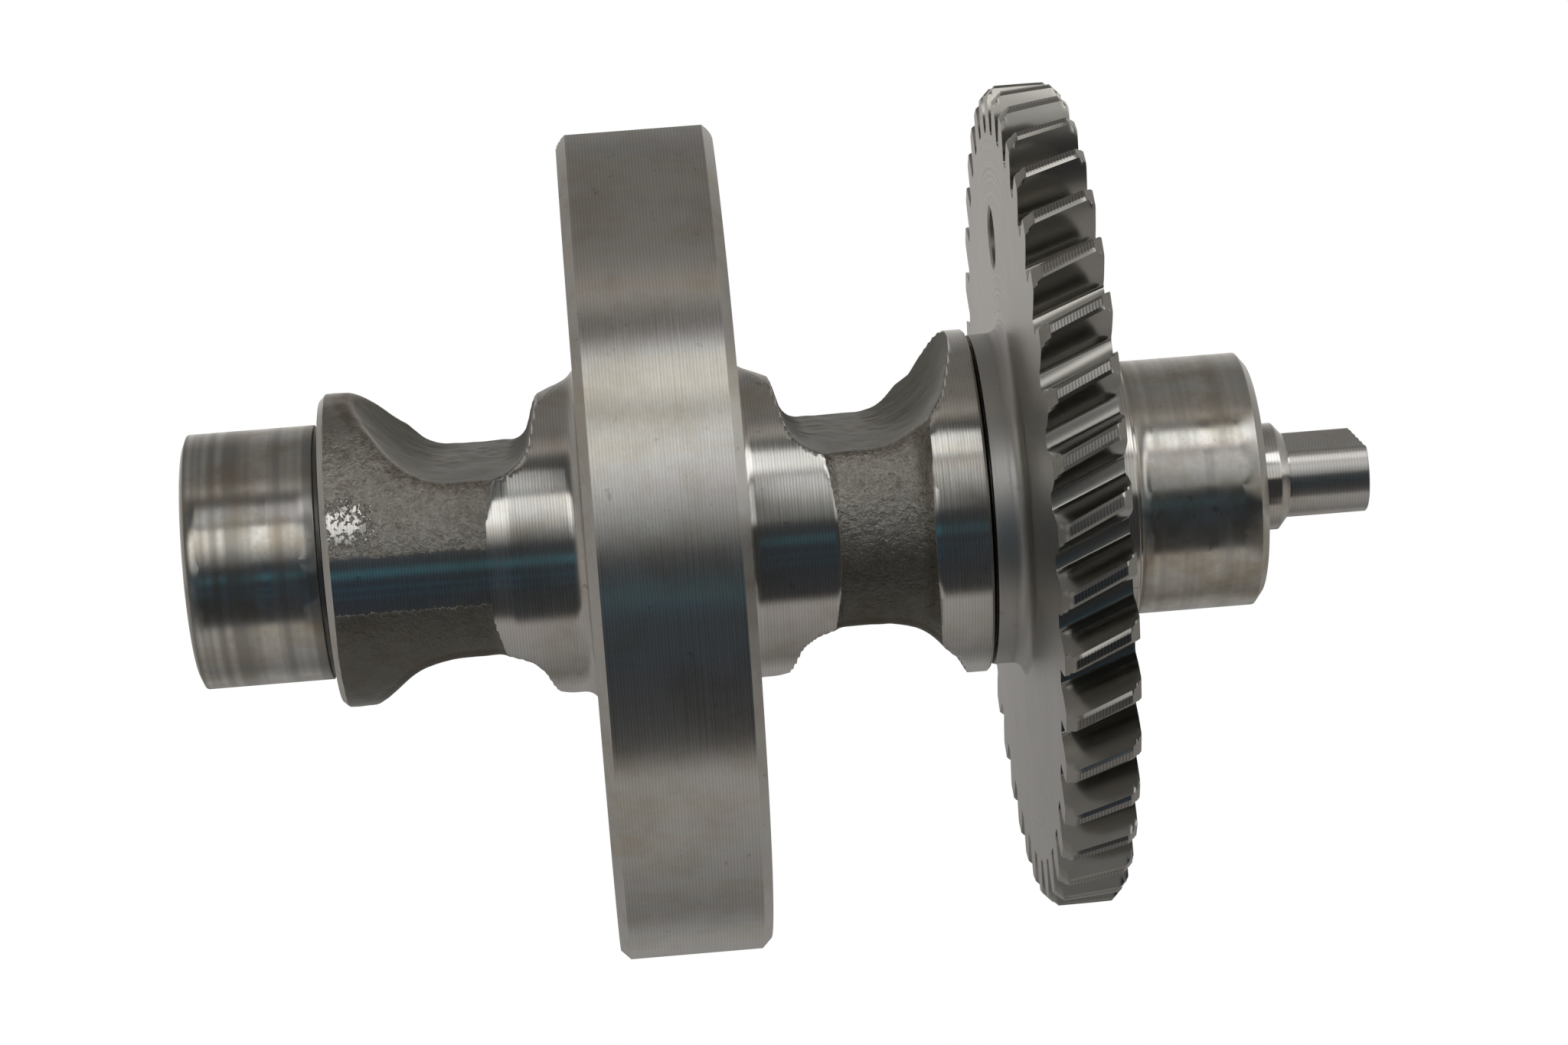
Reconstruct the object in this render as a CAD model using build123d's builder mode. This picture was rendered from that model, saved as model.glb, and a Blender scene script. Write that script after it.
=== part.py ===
"""Engine balance shaft with its helical drive gear.

Millimetres. The shaft's axis is Z: the plain journal's end face lies on the XY plane and the drive tang
points to +Z. The counterweight hangs to -Y, so -Y is the heavy side.
"""
import os
from math import acos, atan2, cos, degrees, pi, radians, sin, sqrt, tan

from build123d import *

# bearing journals
JOURNAL_RADIUS = 15.0
JOURNAL_A_LENGTH = 15.35
JOURNAL_B_START = 110.35
JOURNAL_B_END = 125.1
JOURNAL_A_CHAMFER = (0.55, 1.2)         # along the axis, across it
JOURNAL_B_CHAMFER = (1.0, 1.3)
RELIEF_RADIUS = 14.5                    # grinding relief beside each shoulder

# flanges at the outer ends of the forged necks
FLANGE_A_FACE = 16.25
FLANGE_A_RADIUS = 18.55
FLANGE_A_CHAMFER = 1.15
FLANGE_B_FACE = 92.25
FLANGE_B_RADIUS = 20.3
FLANGE_B_CHAMFER = 0.3

# counterweight: a thick half-disc
WEIGHT_START = 46.35
WEIGHT_END = 63.95
WEIGHT_RADIUS = 50.55
WEIGHT_HALF_ANGLE = 75.2                # each side of -Y
WEIGHT_CHAMFER = 1.1
WEIGHT_FLANK_SLOPE = 25.0               # how far the flanks fall back from square
WEIGHT_BOSS_RADIUS = 18.35              # forged round the hub, about the forging's own centre
WEIGHT_ROOT_FILLET = 6.0
MIDDLE = (WEIGHT_START + WEIGHT_END) / 2  # the forging is the same on both sides of this plane

# forged body: round bars whose own centres lie off the axis, towards the heavy side
NECK_OFFSET = 2.2
NECK_FORGED_RADIUS = 16.4
HUB_OFFSET = 4.3
HUB_FORGED_RADIUS = 17.3
HUB_FORGED_RADIUS_AT_WEIGHT = 19.3
HUB_RISE_START = 41.4                   # from here the hub swells towards the counterweight
HUB_FRONT_START = 35.0                  # where the hub rises out of the neck on the heavy side
HUB_TURNED_RADIUS = 18.87
HUB_FILLET = 1.8
CREST_RADIUS = 18.47                    # forged flange, round about the shaft's axis
CREST_FALL = ((20.5, 18.47), (29.5, 17.4))  # height and radius where it tapers into the neck

# waist: each neck is narrowed on both flanks and flattened on its light side
WAIST_HALF_WIDTH = 10.35
WAIST_FLARE_FOOT = 26.75                # where the flank's slope to the flange would meet the neck
WAIST_FLARE_TILT = 49.0                 # of that slope, from the axis
WAIST_FLARE_ROUND = 10.0
WAIST_WALL_END = (42.0, 18.87)          # height and half width at the top of the hub's wall
WAIST_WALL_FEET = ((-20.5, 39.1, 6.2), (20.5, 40.2, 0.3))  # Y, height and rounding of the wall's foot
BACK_DEPTH = 6.95                       # from the axis to the flattened back
BACK_FLARE_FOOT = 28.9
BACK_FLARE_TILT = 62.0
BACK_FLARE_ROUND = 4.0
BACK_WALL = ((39.9, 6.95), (41.8, 12.7), (42.3, 20.0))
BACK_RADIUS = 1.2

# gear seat, shoulder, boss and tang
SPACER_RADIUS = 18.3
SEAT_START = 92.75
SEAT_RADIUS = 16.0
SEAT_END = 109.8
SEAT_CHAMFER = 0.25
BOSS_RADIUS = 6.35
BOSS_END = 128.0
TANG_START = 129.05
TANG_RADIUS = 5.0
TANG_END = 138.6
TANG_FLAT_DISTANCE = 4.35               # from the axis to the flat
TANG_FLAT_DIRECTION = 195.7             # degrees from +X
TANG_BEVEL_DIRECTION = 166.7
CENTRE_A = (3.15, 6.7)                  # centre drilling: pilot and mouth diameters
CENTRE_B = (2.0, 4.25)

# drive gear
TEETH = 41
NORMAL_MODULE = 2.05
HELIX_ANGLE = 24.0                      # left hand
PRESSURE_ANGLE = 17.5                   # in the normal plane
TIP_RADIUS = 48.5
ROOT_RADIUS = 43.1
ROOT_FILLET_RISE = 0.9
TIP_BREAK = 0.3                         # bevel along each edge of a tooth's tip
TOOTH_END_CHAMFER = (1.15, 1.2)         # along the axis, across it
GEAR_START = 96.75
GEAR_END = 105.0
TOOTH_PHASE = -108.7                    # one tooth's centre at the gear's middle plane, from +X
COLLAR_RADIUS = 19.55
COLLAR_FILLET = 1.8
WEB_HOLE_RADIUS = 3.6
WEB_HOLE_CIRCLE = 30.8
WEB_HOLE_DIRECTION = 166.7



def mirrored(z):
    """The same height on the other side of the counterweight's middle plane."""
    return 2 * MIDDLE - z


def polar(radius, angle):
    return (radius * cos(radians(angle)), radius * sin(radians(angle)))


def arc_points(centre, radius, start, end, spans):
    """Points spaced evenly along an arc, from the start angle to the end angle in degrees."""
    angles = [start + (end - start) * step / spans for step in range(spans + 1)]
    return [(centre[0] + polar(radius, a)[0], centre[1] + polar(radius, a)[1]) for a in angles]


# The waist's outline as seen from the heavy side, up to the counterweight's middle plane. The foot of the
# hub's wall is well rounded on the heavy side and nearly sharp on the light side.
limit = HUB_TURNED_RADIUS + 1
with BuildPart() as waist_block:
    for y, foot_height, foot_radius in WAIST_WALL_FEET:
        wall = atan2(WAIST_WALL_END[0] - foot_height, WAIST_WALL_END[1] - WAIST_HALF_WIDTH)
        foot_start = foot_height - foot_radius * (1 - sin(wall)) / cos(wall)
        flare_end = WAIST_FLARE_FOOT + WAIST_FLARE_ROUND * tan(radians(WAIST_FLARE_TILT / 2))
        flare_top = WAIST_FLARE_FOOT - (limit - WAIST_HALF_WIDTH) / tan(radians(WAIST_FLARE_TILT))
        with BuildSketch(Plane.XZ.offset(-y)):
            with BuildLine():
                Polyline(
                    (0, FLANGE_A_FACE),
                    (limit, FLANGE_A_FACE),
                    (limit, flare_top),
                    *arc_points(
                        (WAIST_HALF_WIDTH + WAIST_FLARE_ROUND, flare_end),
                        WAIST_FLARE_ROUND,
                        180 + WAIST_FLARE_TILT,
                        180,
                        4,
                    ),
                    *arc_points(
                        (WAIST_HALF_WIDTH + foot_radius, foot_start),
                        foot_radius,
                        180,
                        90 + degrees(wall),
                        3,
                    ),
                    (WAIST_WALL_END[1], WAIST_WALL_END[0]),
                    (limit, WAIST_WALL_END[0] + 0.2),
                    (limit, MIDDLE),
                    (0, MIDDLE),
                    close=True,
                )
            make_face()
    loft(ruled=True)
    mirror(about=Plane.YZ)

# Half of the forging: flange, neck and hub. Three bars, each turned about its own centre, are cut by the
# waist's outline and by the outline as seen from a flank, which has the flattened back.
with BuildPart() as forged_half:
    with BuildSketch(Plane.XZ):
        with BuildLine():
            Polyline(
                (0, FLANGE_A_FACE),
                (CREST_RADIUS, FLANGE_A_FACE),
                *[(radius, z) for z, radius in CREST_FALL],
                (0, CREST_FALL[-1][0]),
                close=True,
            )
        make_face()
    revolve(axis=Axis.Z)
    with Locations((0, -NECK_OFFSET, (FLANGE_A_FACE + MIDDLE) / 2)):
        Cylinder(NECK_FORGED_RADIUS, MIDDLE - FLANGE_A_FACE)
    with BuildSketch(Plane.XZ.offset(HUB_OFFSET)):
        with BuildLine():
            Polyline(
                (0, HUB_FRONT_START - 1),
                (NECK_FORGED_RADIUS - NECK_OFFSET - 1, HUB_FRONT_START - 1),
                (HUB_FORGED_RADIUS, HUB_FRONT_START + HUB_FORGED_RADIUS - NECK_FORGED_RADIUS + NECK_OFFSET),
                (HUB_FORGED_RADIUS, HUB_RISE_START),
                (HUB_FORGED_RADIUS_AT_WEIGHT, WEIGHT_START),
                (HUB_FORGED_RADIUS_AT_WEIGHT, MIDDLE),
                (0, MIDDLE),
                close=True,
            )
        make_face()
    revolve(axis=Axis((0, -HUB_OFFSET, 0), (0, 0, 1)))
    add(waist_block.part, mode=Mode.INTERSECT)
    with BuildSketch(Plane.YZ) as flank_outline:
        with BuildLine():
            Polyline(
                (-40, FLANGE_A_FACE),
                (limit, FLANGE_A_FACE),
                (limit, BACK_FLARE_FOOT - (limit - BACK_DEPTH) / tan(radians(BACK_FLARE_TILT))),
                (BACK_DEPTH, BACK_FLARE_FOOT),
                *[(y, z) for z, y in BACK_WALL],
                (BACK_WALL[-1][1], MIDDLE),
                (-40, MIDDLE),
                close=True,
            )
        make_face()
        feet = flank_outline.vertices().filter_by(lambda v: abs(v.X - BACK_DEPTH) < 0.1).sort_by(Axis.Y)
        fillet(feet[0], BACK_FLARE_ROUND)
        fillet(feet[1], BACK_RADIUS)
    extrude(amount=40, both=True, mode=Mode.INTERSECT)

# Counterweight. The outline joins the half-disc to the hub with forged fillets; turning then leaves the
# rim round about the shaft's axis, bevels both of its edges and rounds the corner at each hub.
with BuildPart() as counterweight:
    slope = tan(radians(WEIGHT_FLANK_SLOPE))
    corner_x = WEIGHT_RADIUS * sin(radians(WEIGHT_HALF_ANGLE))
    corner_y = -WEIGHT_RADIUS * cos(radians(WEIGHT_HALF_ANGLE))
    outside = corner_x + 2
    with BuildSketch(Plane.XY.offset(WEIGHT_START - HUB_FILLET)) as weight_outline:
        with BuildLine():
            Polyline(
                (outside, corner_y - 2 * slope),
                (0, corner_y + corner_x * slope),
                (-outside, corner_y - 2 * slope),
                (-outside, -WEIGHT_RADIUS - 2),
                (outside, -WEIGHT_RADIUS - 2),
                close=True,
            )
        make_face()
        with Locations((0, -HUB_OFFSET)):
            Circle(WEIGHT_BOSS_RADIUS)
        fillet(weight_outline.vertices().filter_by(lambda v: v.Y > -5), WEIGHT_ROOT_FILLET)
    extrude(amount=WEIGHT_END - WEIGHT_START + 2 * HUB_FILLET)
    with BuildSketch(Plane.XZ) as weight_profile:
        with BuildLine():
            Polyline(
                (0, MIDDLE),
                (0, WEIGHT_START - HUB_FILLET),
                *arc_points(
                    (HUB_TURNED_RADIUS + HUB_FILLET, WEIGHT_START - HUB_FILLET), HUB_FILLET, 180, 90, 2
                ),
                (WEIGHT_RADIUS - WEIGHT_CHAMFER, WEIGHT_START),
                (WEIGHT_RADIUS, WEIGHT_START + WEIGHT_CHAMFER),
                (WEIGHT_RADIUS, MIDDLE),
                close=True,
            )
        make_face()
        mirror(about=Plane.XZ.offset(-MIDDLE))
    revolve(axis=Axis.Z, mode=Mode.INTERSECT)

# The shaft. The two forged halves are cut down to the turned envelope, then the counterweight and the
# fully turned ends are added.
with BuildPart() as balance_shaft:
    add(forged_half.part)
    mirror(about=Plane.XY.offset(MIDDLE))
    # the larger flange behind the gear
    with BuildSketch(Plane.XZ):
        with BuildLine():
            Polyline(
                (0, FLANGE_B_FACE - 4.65),
                (17.2, FLANGE_B_FACE - 4.65),
                (FLANGE_B_RADIUS + 0.2, FLANGE_B_FACE - 2.25),
                (FLANGE_B_RADIUS + 0.2, FLANGE_B_FACE),
                (0, FLANGE_B_FACE),
                close=True,
            )
        make_face()
    revolve(axis=Axis.Z)
    # turned envelope
    with BuildSketch(Plane.XZ):
        with BuildLine():
            Polyline(
                (0, FLANGE_A_FACE),
                (FLANGE_A_RADIUS - FLANGE_A_CHAMFER, FLANGE_A_FACE),
                (FLANGE_A_RADIUS, FLANGE_A_FACE + FLANGE_A_CHAMFER),
                (FLANGE_A_RADIUS, HUB_FRONT_START - 0.3),
                (HUB_TURNED_RADIUS, HUB_FRONT_START),
                (HUB_TURNED_RADIUS, mirrored(HUB_FRONT_START)),
                (FLANGE_B_RADIUS, mirrored(HUB_FRONT_START) + 0.5),
                (FLANGE_B_RADIUS, FLANGE_B_FACE - FLANGE_B_CHAMFER),
                (FLANGE_B_RADIUS - FLANGE_B_CHAMFER, FLANGE_B_FACE),
                (0, FLANGE_B_FACE),
                close=True,
            )
        make_face()
    revolve(axis=Axis.Z, mode=Mode.INTERSECT)
    add(counterweight.part)
    # plain journal with its grinding relief
    with BuildSketch(Plane.XZ):
        with BuildLine():
            Polyline(
                (0, 0),
                (JOURNAL_RADIUS - JOURNAL_A_CHAMFER[1], 0),
                (JOURNAL_RADIUS, JOURNAL_A_CHAMFER[0]),
                (JOURNAL_RADIUS, JOURNAL_A_LENGTH),
                (RELIEF_RADIUS, JOURNAL_A_LENGTH + 0.2),
                (RELIEF_RADIUS, FLANGE_A_FACE + 0.1),
                (0, FLANGE_A_FACE + 0.1),
                close=True,
            )
        make_face()
    revolve(axis=Axis.Z)
    # gear seat, relief, second journal, boss and tang
    with BuildSketch(Plane.XZ):
        with BuildLine():
            Polyline(
                (0, FLANGE_B_FACE - 0.1),
                (SPACER_RADIUS, FLANGE_B_FACE - 0.1),
                (SPACER_RADIUS, SEAT_START),
                (SEAT_RADIUS, SEAT_START),
                (SEAT_RADIUS, SEAT_END - SEAT_CHAMFER),
                (SEAT_RADIUS - SEAT_CHAMFER, SEAT_END),
                (RELIEF_RADIUS, SEAT_END),
                (RELIEF_RADIUS, JOURNAL_B_START - 0.2),
                (JOURNAL_RADIUS, JOURNAL_B_START),
                (JOURNAL_RADIUS, JOURNAL_B_END - JOURNAL_B_CHAMFER[0]),
                (JOURNAL_RADIUS - JOURNAL_B_CHAMFER[1], JOURNAL_B_END),
                (BOSS_RADIUS, JOURNAL_B_END),
                (BOSS_RADIUS, BOSS_END),
                (TANG_RADIUS, TANG_START),
                (TANG_RADIUS, TANG_END),
                (0, TANG_END),
                close=True,
            )
        make_face()
    revolve(axis=Axis.Z)
    # flat along the tang
    with BuildSketch(Plane.XY.offset(TANG_START + 0.15).rotated((0, 0, TANG_FLAT_DIRECTION))):
        with Locations((TANG_FLAT_DISTANCE + 5, 0)):
            Rectangle(10, 14)
    extrude(amount=TANG_END - TANG_START, mode=Mode.SUBTRACT)
    # lead-in bevel across one side of the tang's end
    with BuildSketch(Plane.XZ.rotated((0, 0, TANG_BEVEL_DIRECTION), ordering=Extrinsic.XYZ)):
        with BuildLine():
            Polyline(
                (2.55, TANG_END),
                (8.0, TANG_END - 2.75),
                (8.0, TANG_END + 1),
                (2.55, TANG_END + 1),
                close=True,
            )
        make_face()
    extrude(amount=8, both=True, mode=Mode.SUBTRACT)
    # centre drillings in both ends
    for (pilot, mouth), z, way in ((CENTRE_A, 0, 1), (CENTRE_B, TANG_END, -1)):
        depth = (mouth - pilot) / 2 / tan(radians(30))
        with BuildSketch(Plane.XZ):
            with BuildLine():
                Polyline(
                    (0, z),
                    (mouth / 2, z),
                    (pilot / 2, z + way * depth),
                    (pilot / 2, z + way * (depth + pilot)),
                    (0, z + way * (depth + pilot * 1.3)),
                    close=True,
                )
            make_face()
        revolve(axis=Axis.Z, mode=Mode.SUBTRACT)

balance_shaft.part.label = "balance_shaft"

# Tooth form in the transverse plane. An involute flank is sampled between the root fillet and the tip.
transverse_pressure = degrees(
    acos(1 / sqrt(1 + (tan(radians(PRESSURE_ANGLE)) / cos(radians(HELIX_ANGLE))) ** 2))
)
pitch_radius = TEETH * NORMAL_MODULE / cos(radians(HELIX_ANGLE)) / 2
base_radius = pitch_radius * cos(radians(transverse_pressure))


def involute(angle):
    """Involute function of an angle in radians."""
    return tan(angle) - angle


def half_angle(radius):
    """Half of the tooth's angle at this radius, in degrees."""
    at_pitch = pi / (2 * TEETH) + involute(radians(transverse_pressure))
    if radius <= base_radius:
        return degrees(at_pitch)
    return degrees(at_pitch - involute(acos(base_radius / radius)))


half_pitch = 180 / TEETH
flank_bottom = ROOT_RADIUS + ROOT_FILLET_RISE
flank_radii = [flank_bottom + (TIP_RADIUS - TIP_BREAK - flank_bottom) * step / 2 for step in range(3)]
twist = -degrees((GEAR_END - GEAR_START) * tan(radians(HELIX_ANGLE)) / pitch_radius)

outline = []
for tooth in range(TEETH):
    centre = TOOTH_PHASE - twist / 2 + tooth * 360 / TEETH
    right = [polar(ROOT_RADIUS, centre - half_pitch + 0.25), polar(ROOT_RADIUS, centre - half_pitch + 1.1)]
    right += [polar(r, centre - half_angle(r)) for r in flank_radii]
    tip_half = half_angle(TIP_RADIUS) - degrees(TIP_BREAK / TIP_RADIUS)
    left = [polar(r, centre + half_angle(r)) for r in reversed(flank_radii)]
    left += [polar(ROOT_RADIUS, centre + half_pitch - 1.1), polar(ROOT_RADIUS, centre + half_pitch - 0.25)]
    outline += right + [polar(TIP_RADIUS, centre - tip_half), polar(TIP_RADIUS, centre + tip_half)] + left

# The gear: the outline is twisted along the face width, its ends are bevelled by turning, and the collar,
# the bore and the web hole follow.
toothed = Solid.extrude_linear_with_rotation(
    Face(Wire.make_polygon([Vector(x, y, GEAR_START) for x, y in outline], close=True)),
    center=(0, 0, GEAR_START),
    normal=(0, 0, GEAR_END - GEAR_START),
    angle=twist,
)
with BuildPart() as drive_gear:
    add(toothed)
    with BuildSketch(Plane.XZ):
        with BuildLine():
            Polyline(
                (0, GEAR_START),
                (TIP_RADIUS - TOOTH_END_CHAMFER[1], GEAR_START),
                (TIP_RADIUS + 1, GEAR_START + TOOTH_END_CHAMFER[0] * (1 + 1 / TOOTH_END_CHAMFER[1])),
                (TIP_RADIUS + 1, GEAR_END - TOOTH_END_CHAMFER[0] * (1 + 1 / TOOTH_END_CHAMFER[1])),
                (TIP_RADIUS - TOOTH_END_CHAMFER[1], GEAR_END),
                (0, GEAR_END),
                close=True,
            )
        make_face()
    revolve(axis=Axis.Z, mode=Mode.INTERSECT)
    with BuildSketch(Plane.XZ):
        with BuildLine():
            Polyline(
                (COLLAR_RADIUS + COLLAR_FILLET, GEAR_START + 1),
                (SEAT_RADIUS, GEAR_START + 1),
                (SEAT_RADIUS, SEAT_START),
                (COLLAR_RADIUS - 0.2, SEAT_START),
                (COLLAR_RADIUS, SEAT_START + 0.2),
                *arc_points(
                    (COLLAR_RADIUS + COLLAR_FILLET, GEAR_START - COLLAR_FILLET), COLLAR_FILLET, 180, 90, 3
                ),
                close=True,
            )
        make_face()
    revolve(axis=Axis.Z)
    with Locations((0, 0, (SEAT_START + GEAR_END) / 2)):
        Cylinder(SEAT_RADIUS, GEAR_END - SEAT_START + 2, mode=Mode.SUBTRACT)
    with Locations((*polar(WEB_HOLE_CIRCLE, WEB_HOLE_DIRECTION), (GEAR_START + GEAR_END) / 2)):
        Cylinder(WEB_HOLE_RADIUS, GEAR_END - GEAR_START + 2, mode=Mode.SUBTRACT)

drive_gear.part.label = "drive_gear"

os.makedirs("parts", exist_ok=True)
export_step(balance_shaft.part, "parts/balance_shaft.step")
export_step(drive_gear.part, "parts/drive_gear.step")
print("shaft volume", round(balance_shaft.part.volume), "gear volume", round(drive_gear.part.volume))
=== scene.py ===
# %% [markdown]
# # A balance shaft, dressed
#
# A balance shaft carries a heavy half-disc that swings against the engine's own shaking. This lesson takes
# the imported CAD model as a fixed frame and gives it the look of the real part: lathe lines on the rim, a
# rough forged skin on the necks, ground bearing journals and polished gear flanks.

# %% Load the frame
import math

import bmesh
import bpy
import numpy as np
from mathutils import Matrix, Vector, geometry


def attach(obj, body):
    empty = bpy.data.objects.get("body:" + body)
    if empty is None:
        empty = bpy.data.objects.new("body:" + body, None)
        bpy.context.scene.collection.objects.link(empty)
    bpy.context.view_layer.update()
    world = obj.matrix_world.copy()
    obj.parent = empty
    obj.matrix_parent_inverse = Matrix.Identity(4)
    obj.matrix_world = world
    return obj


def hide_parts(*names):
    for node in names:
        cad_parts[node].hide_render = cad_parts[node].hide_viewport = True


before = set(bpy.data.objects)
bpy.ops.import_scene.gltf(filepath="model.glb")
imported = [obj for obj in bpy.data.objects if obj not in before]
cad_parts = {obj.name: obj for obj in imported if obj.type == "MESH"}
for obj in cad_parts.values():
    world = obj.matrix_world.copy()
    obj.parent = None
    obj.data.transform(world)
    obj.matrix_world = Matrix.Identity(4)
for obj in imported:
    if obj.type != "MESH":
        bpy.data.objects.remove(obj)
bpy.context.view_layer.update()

print("nodes:", sorted(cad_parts))

# %% [markdown]
# ## The sizes that the pieces share
#
# The CAD model is the authority on size. Its main dimensions are repeated here in millimetres, because the
# surfaces below are worked out from them, and every mesh is turned to metres as it is made. Heights run
# along Z, which is the shaft's axis, and the counterweight hangs towards -Y.

# %% Sizes in millimetres
MM = 0.001
LENGTH = 138.6
JOURNAL_R = 15.0
FLANGE_A, FLANGE_A_R = 16.25, 18.55
FLANGE_B, FLANGE_B_R = 92.25, 20.3
FLANGE_CHAMFER = 0.8
WEIGHT_LOW, WEIGHT_HIGH, WEIGHT_R = 46.35, 63.95, 50.55
MIDDLE = (WEIGHT_LOW + WEIGHT_HIGH) / 2
WEIGHT_HALF_ANGLE = 75.2
WEIGHT_CHAMFER = 1.1
HUB_R = 18.87
TIP_R, ROOT_R = 48.5, 43.1
GEAR_LOW, GEAR_HIGH = 96.75, 105.0
TEETH = 41
print("counterweight:", round(WEIGHT_HIGH - WEIGHT_LOW, 2), "mm thick, middle at", round(MIDDLE, 2))

# %% [markdown]
# ## Smooth blends instead of fillets
#
# A forging has no sharp corners, because metal flows round every edge of the die. In CAD that takes
# fillets. For a surface that is one number per point, here a radius, the same softness comes from a smooth
# minimum: where two limits come within a blend width of each other, the smaller one is eased below both.


# %% Smooth minimum and maximum
def soft_min(a, b, blend):
    """The smaller of a and b, less blend / 4 times the square of how closely they meet, which is 1 where
    they are equal and 0 where they are a blend width apart."""
    meet = np.clip(blend - np.abs(a - b), 0, None) / blend
    return np.minimum(a, b) - meet**2 * blend / 4


def soft_max(a, b, blend):
    """The larger of a and b, eased upwards in the same way."""
    return -soft_min(-a, -b, blend)


print("smooth minimum of 5 and 5, with a blend of 1:", soft_min(5.0, 5.0, 1.0))

# %% [markdown]
# ## The waviness of a forging
#
# Hot metal never fills the die evenly. A grid of seeded random numbers, eased from point to point, gives
# slow waves that are the same in every run.


# %% Noise on a lattice
def lattice_noise(u, v, seed, wrap):
    """Smooth noise from a seeded grid of numbers, blended with the curve 3t^2 - 2t^3 between its points.

    u and v are places on the grid, one unit per grid step, and u repeats after wrap steps."""
    size = 256
    grid = np.random.default_rng(seed).uniform(-1, 1, (size, size))
    left, low = np.floor(u).astype(int), np.floor(v).astype(int)
    across, up = u - left, v - low
    across, up = across * across * (3 - 2 * across), up * up * (3 - 2 * up)
    here, beside = left % wrap, (left + 1) % wrap
    below, above = low % size, (low + 1) % size
    lower_edge = grid[here, below] * (1 - across) + grid[beside, below] * across
    upper_edge = grid[here, above] * (1 - across) + grid[beside, above] * across
    return lower_edge * (1 - up) + upper_edge * up


print("noise at one place:", lattice_noise(np.array([0.5]), np.array([0.5]), 3, 30))

# %% [markdown]
# ## One surface from a profile and an angle
#
# Nearly all of this part was turned in a lathe, so its surface is a radius that depends on two numbers: how
# far along the profile a point is, and the angle round the axis. Even the forged necks and the half-disc
# fit, because every ray from the axis leaves the metal only once. A height may come twice with two
# radii, which makes a flat shoulder.
#
# The columns aren't spread evenly: they crowd where the half-disc has its corners, and where its flanks
# meet the boss round the hub.

# %% The angles of the columns
COLUMN_STEP, CLOSEST = 1.25, 0.45
CORNER_ANGLES = WEIGHT_HALF_ANGLE + np.linspace(-3, 3, 17)
BOSS_ANGLES = [88, 92, 94.5, 95.5, 97, 98, 99]


def column_angles():
    """Angles round the axis in degrees from the heavy side: even steps, less those that come too close to
    an angle of the two lists, and both lists on either side."""
    even = np.arange(-180, 180, COLUMN_STEP)
    near = np.concatenate([CORNER_ANGLES, BOSS_ANGLES])
    extra = np.concatenate([near, -near])
    apart = np.abs(even[:, None] - extra[None, :]).min(axis=1) > CLOSEST
    return np.sort(np.concatenate([even[apart], extra]))


HEAVY = column_angles()
ROUND = np.radians(HEAVY - 90)
COS, SIN = np.cos(ROUND), np.sin(ROUND)
print("columns:", len(ROUND))

# %% [markdown]
# ## Rays to circles and walls
#
# Nearly every form of the shaft is a circle off the centre or a flat wall, so two formulas give how far
# each column's ray goes before it leaves the metal.

# %% Distances along the rays
AWAY = 1e3
NEARLY_PARALLEL = 1e-3


def to_circle(offset, radius):
    """Distance along each ray to a circle whose centre lies offset towards the heavy side: the centre's
    distance along the ray, plus the root of its square less offset squared plus radius squared."""
    along = -offset * SIN
    return along + np.sqrt(along**2 - offset**2 + radius**2)


def to_wall(distance, cosine):
    """Distance along each ray to a flat wall: the wall's own distance over the cosine of the angle between
    them. Rays that run away from it are given a large number."""
    return np.where(cosine > NEARLY_PARALLEL, distance / np.maximum(cosine, NEARLY_PARALLEL), AWAY)


print("half-disc's rim from 10 mm off the axis:", to_circle(10, WEIGHT_R).round(1).min(), "mm at least")

# %% [markdown]
# ## The forged neck and hub
#
# Between the bearings the shaft is left as the forging dies made it. Each neck is a round bar whose centre
# lies off the axis, narrowed on both flanks and flattened on its light side. All walls of the dies have one
# form, which is level, then round, then straight, so one function draws them.

# %% Walls of the dies
NECK_WIDTH, NECK_DEPTH = 10.4, 7.1
WALL_TOP = 42.0
WALL_FOOT, WALL_FOOT_SHIFT = 39.1, 1.1
WALL_ROUNDING, WALL_SHARPENING = 6.2, 5.9
SLOPE_FOOT, SLOPE_RISE, SLOPE_ROUNDING = 26.8, 1.15, 10.0
FLANK_REACH = 20


def die_wall(height, level, foot, rise, rounding):
    """Distance out to a wall of the die at this height.

    It is level up to the foot, where a circle of the given rounding touches both the level part and a
    straight wall that gains rise for every millimetre of height."""
    tilt = np.arctan(1 / rise)
    up = height - foot + rounding * (1 - np.sin(tilt)) / np.cos(tilt)
    round_part = level + rounding - np.sqrt(np.maximum(rounding**2 - up**2, 0))
    straight = level + (height - foot) * rise
    return np.where(up <= 0, level, np.where(up < rounding * np.cos(tilt), round_part, straight))


def waist(height):
    """Half the width of a neck in every column: the wider of a hollow slope to the flange and a steep wall
    to the hub. The wall's foot is well rounded on the heavy side and nearly sharp on the light side."""
    across = np.clip(NECK_WIDTH * SIN / np.maximum(np.abs(COS), 0.05), -FLANK_REACH, FLANK_REACH)
    light = (across + FLANK_REACH) / (2 * FLANK_REACH)
    foot = WALL_FOOT + WALL_FOOT_SHIFT * light
    rise = (HUB_R - NECK_WIDTH) / (WALL_TOP - foot)
    wall = die_wall(height, NECK_WIDTH, foot, rise, WALL_ROUNDING - WALL_SHARPENING * light)
    return np.maximum(wall, die_wall(-height, NECK_WIDTH, -SLOPE_FOOT, SLOPE_RISE, SLOPE_ROUNDING))


def back(height):
    """Distance from the axis to the flattened light side: the largest of its slope up to the flange, its
    slope up to the hub and the hub's own steep end."""
    to_flange = die_wall(-height, NECK_DEPTH, foot=-28.9, rise=1.88, rounding=4.0)
    to_hub = die_wall(height, NECK_DEPTH, foot=39.9, rise=3.1, rounding=1.2)
    hub_end = 12.7 + (height - 41.8) * 14.6
    return max(float(to_flange), float(to_hub), hub_end)


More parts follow.
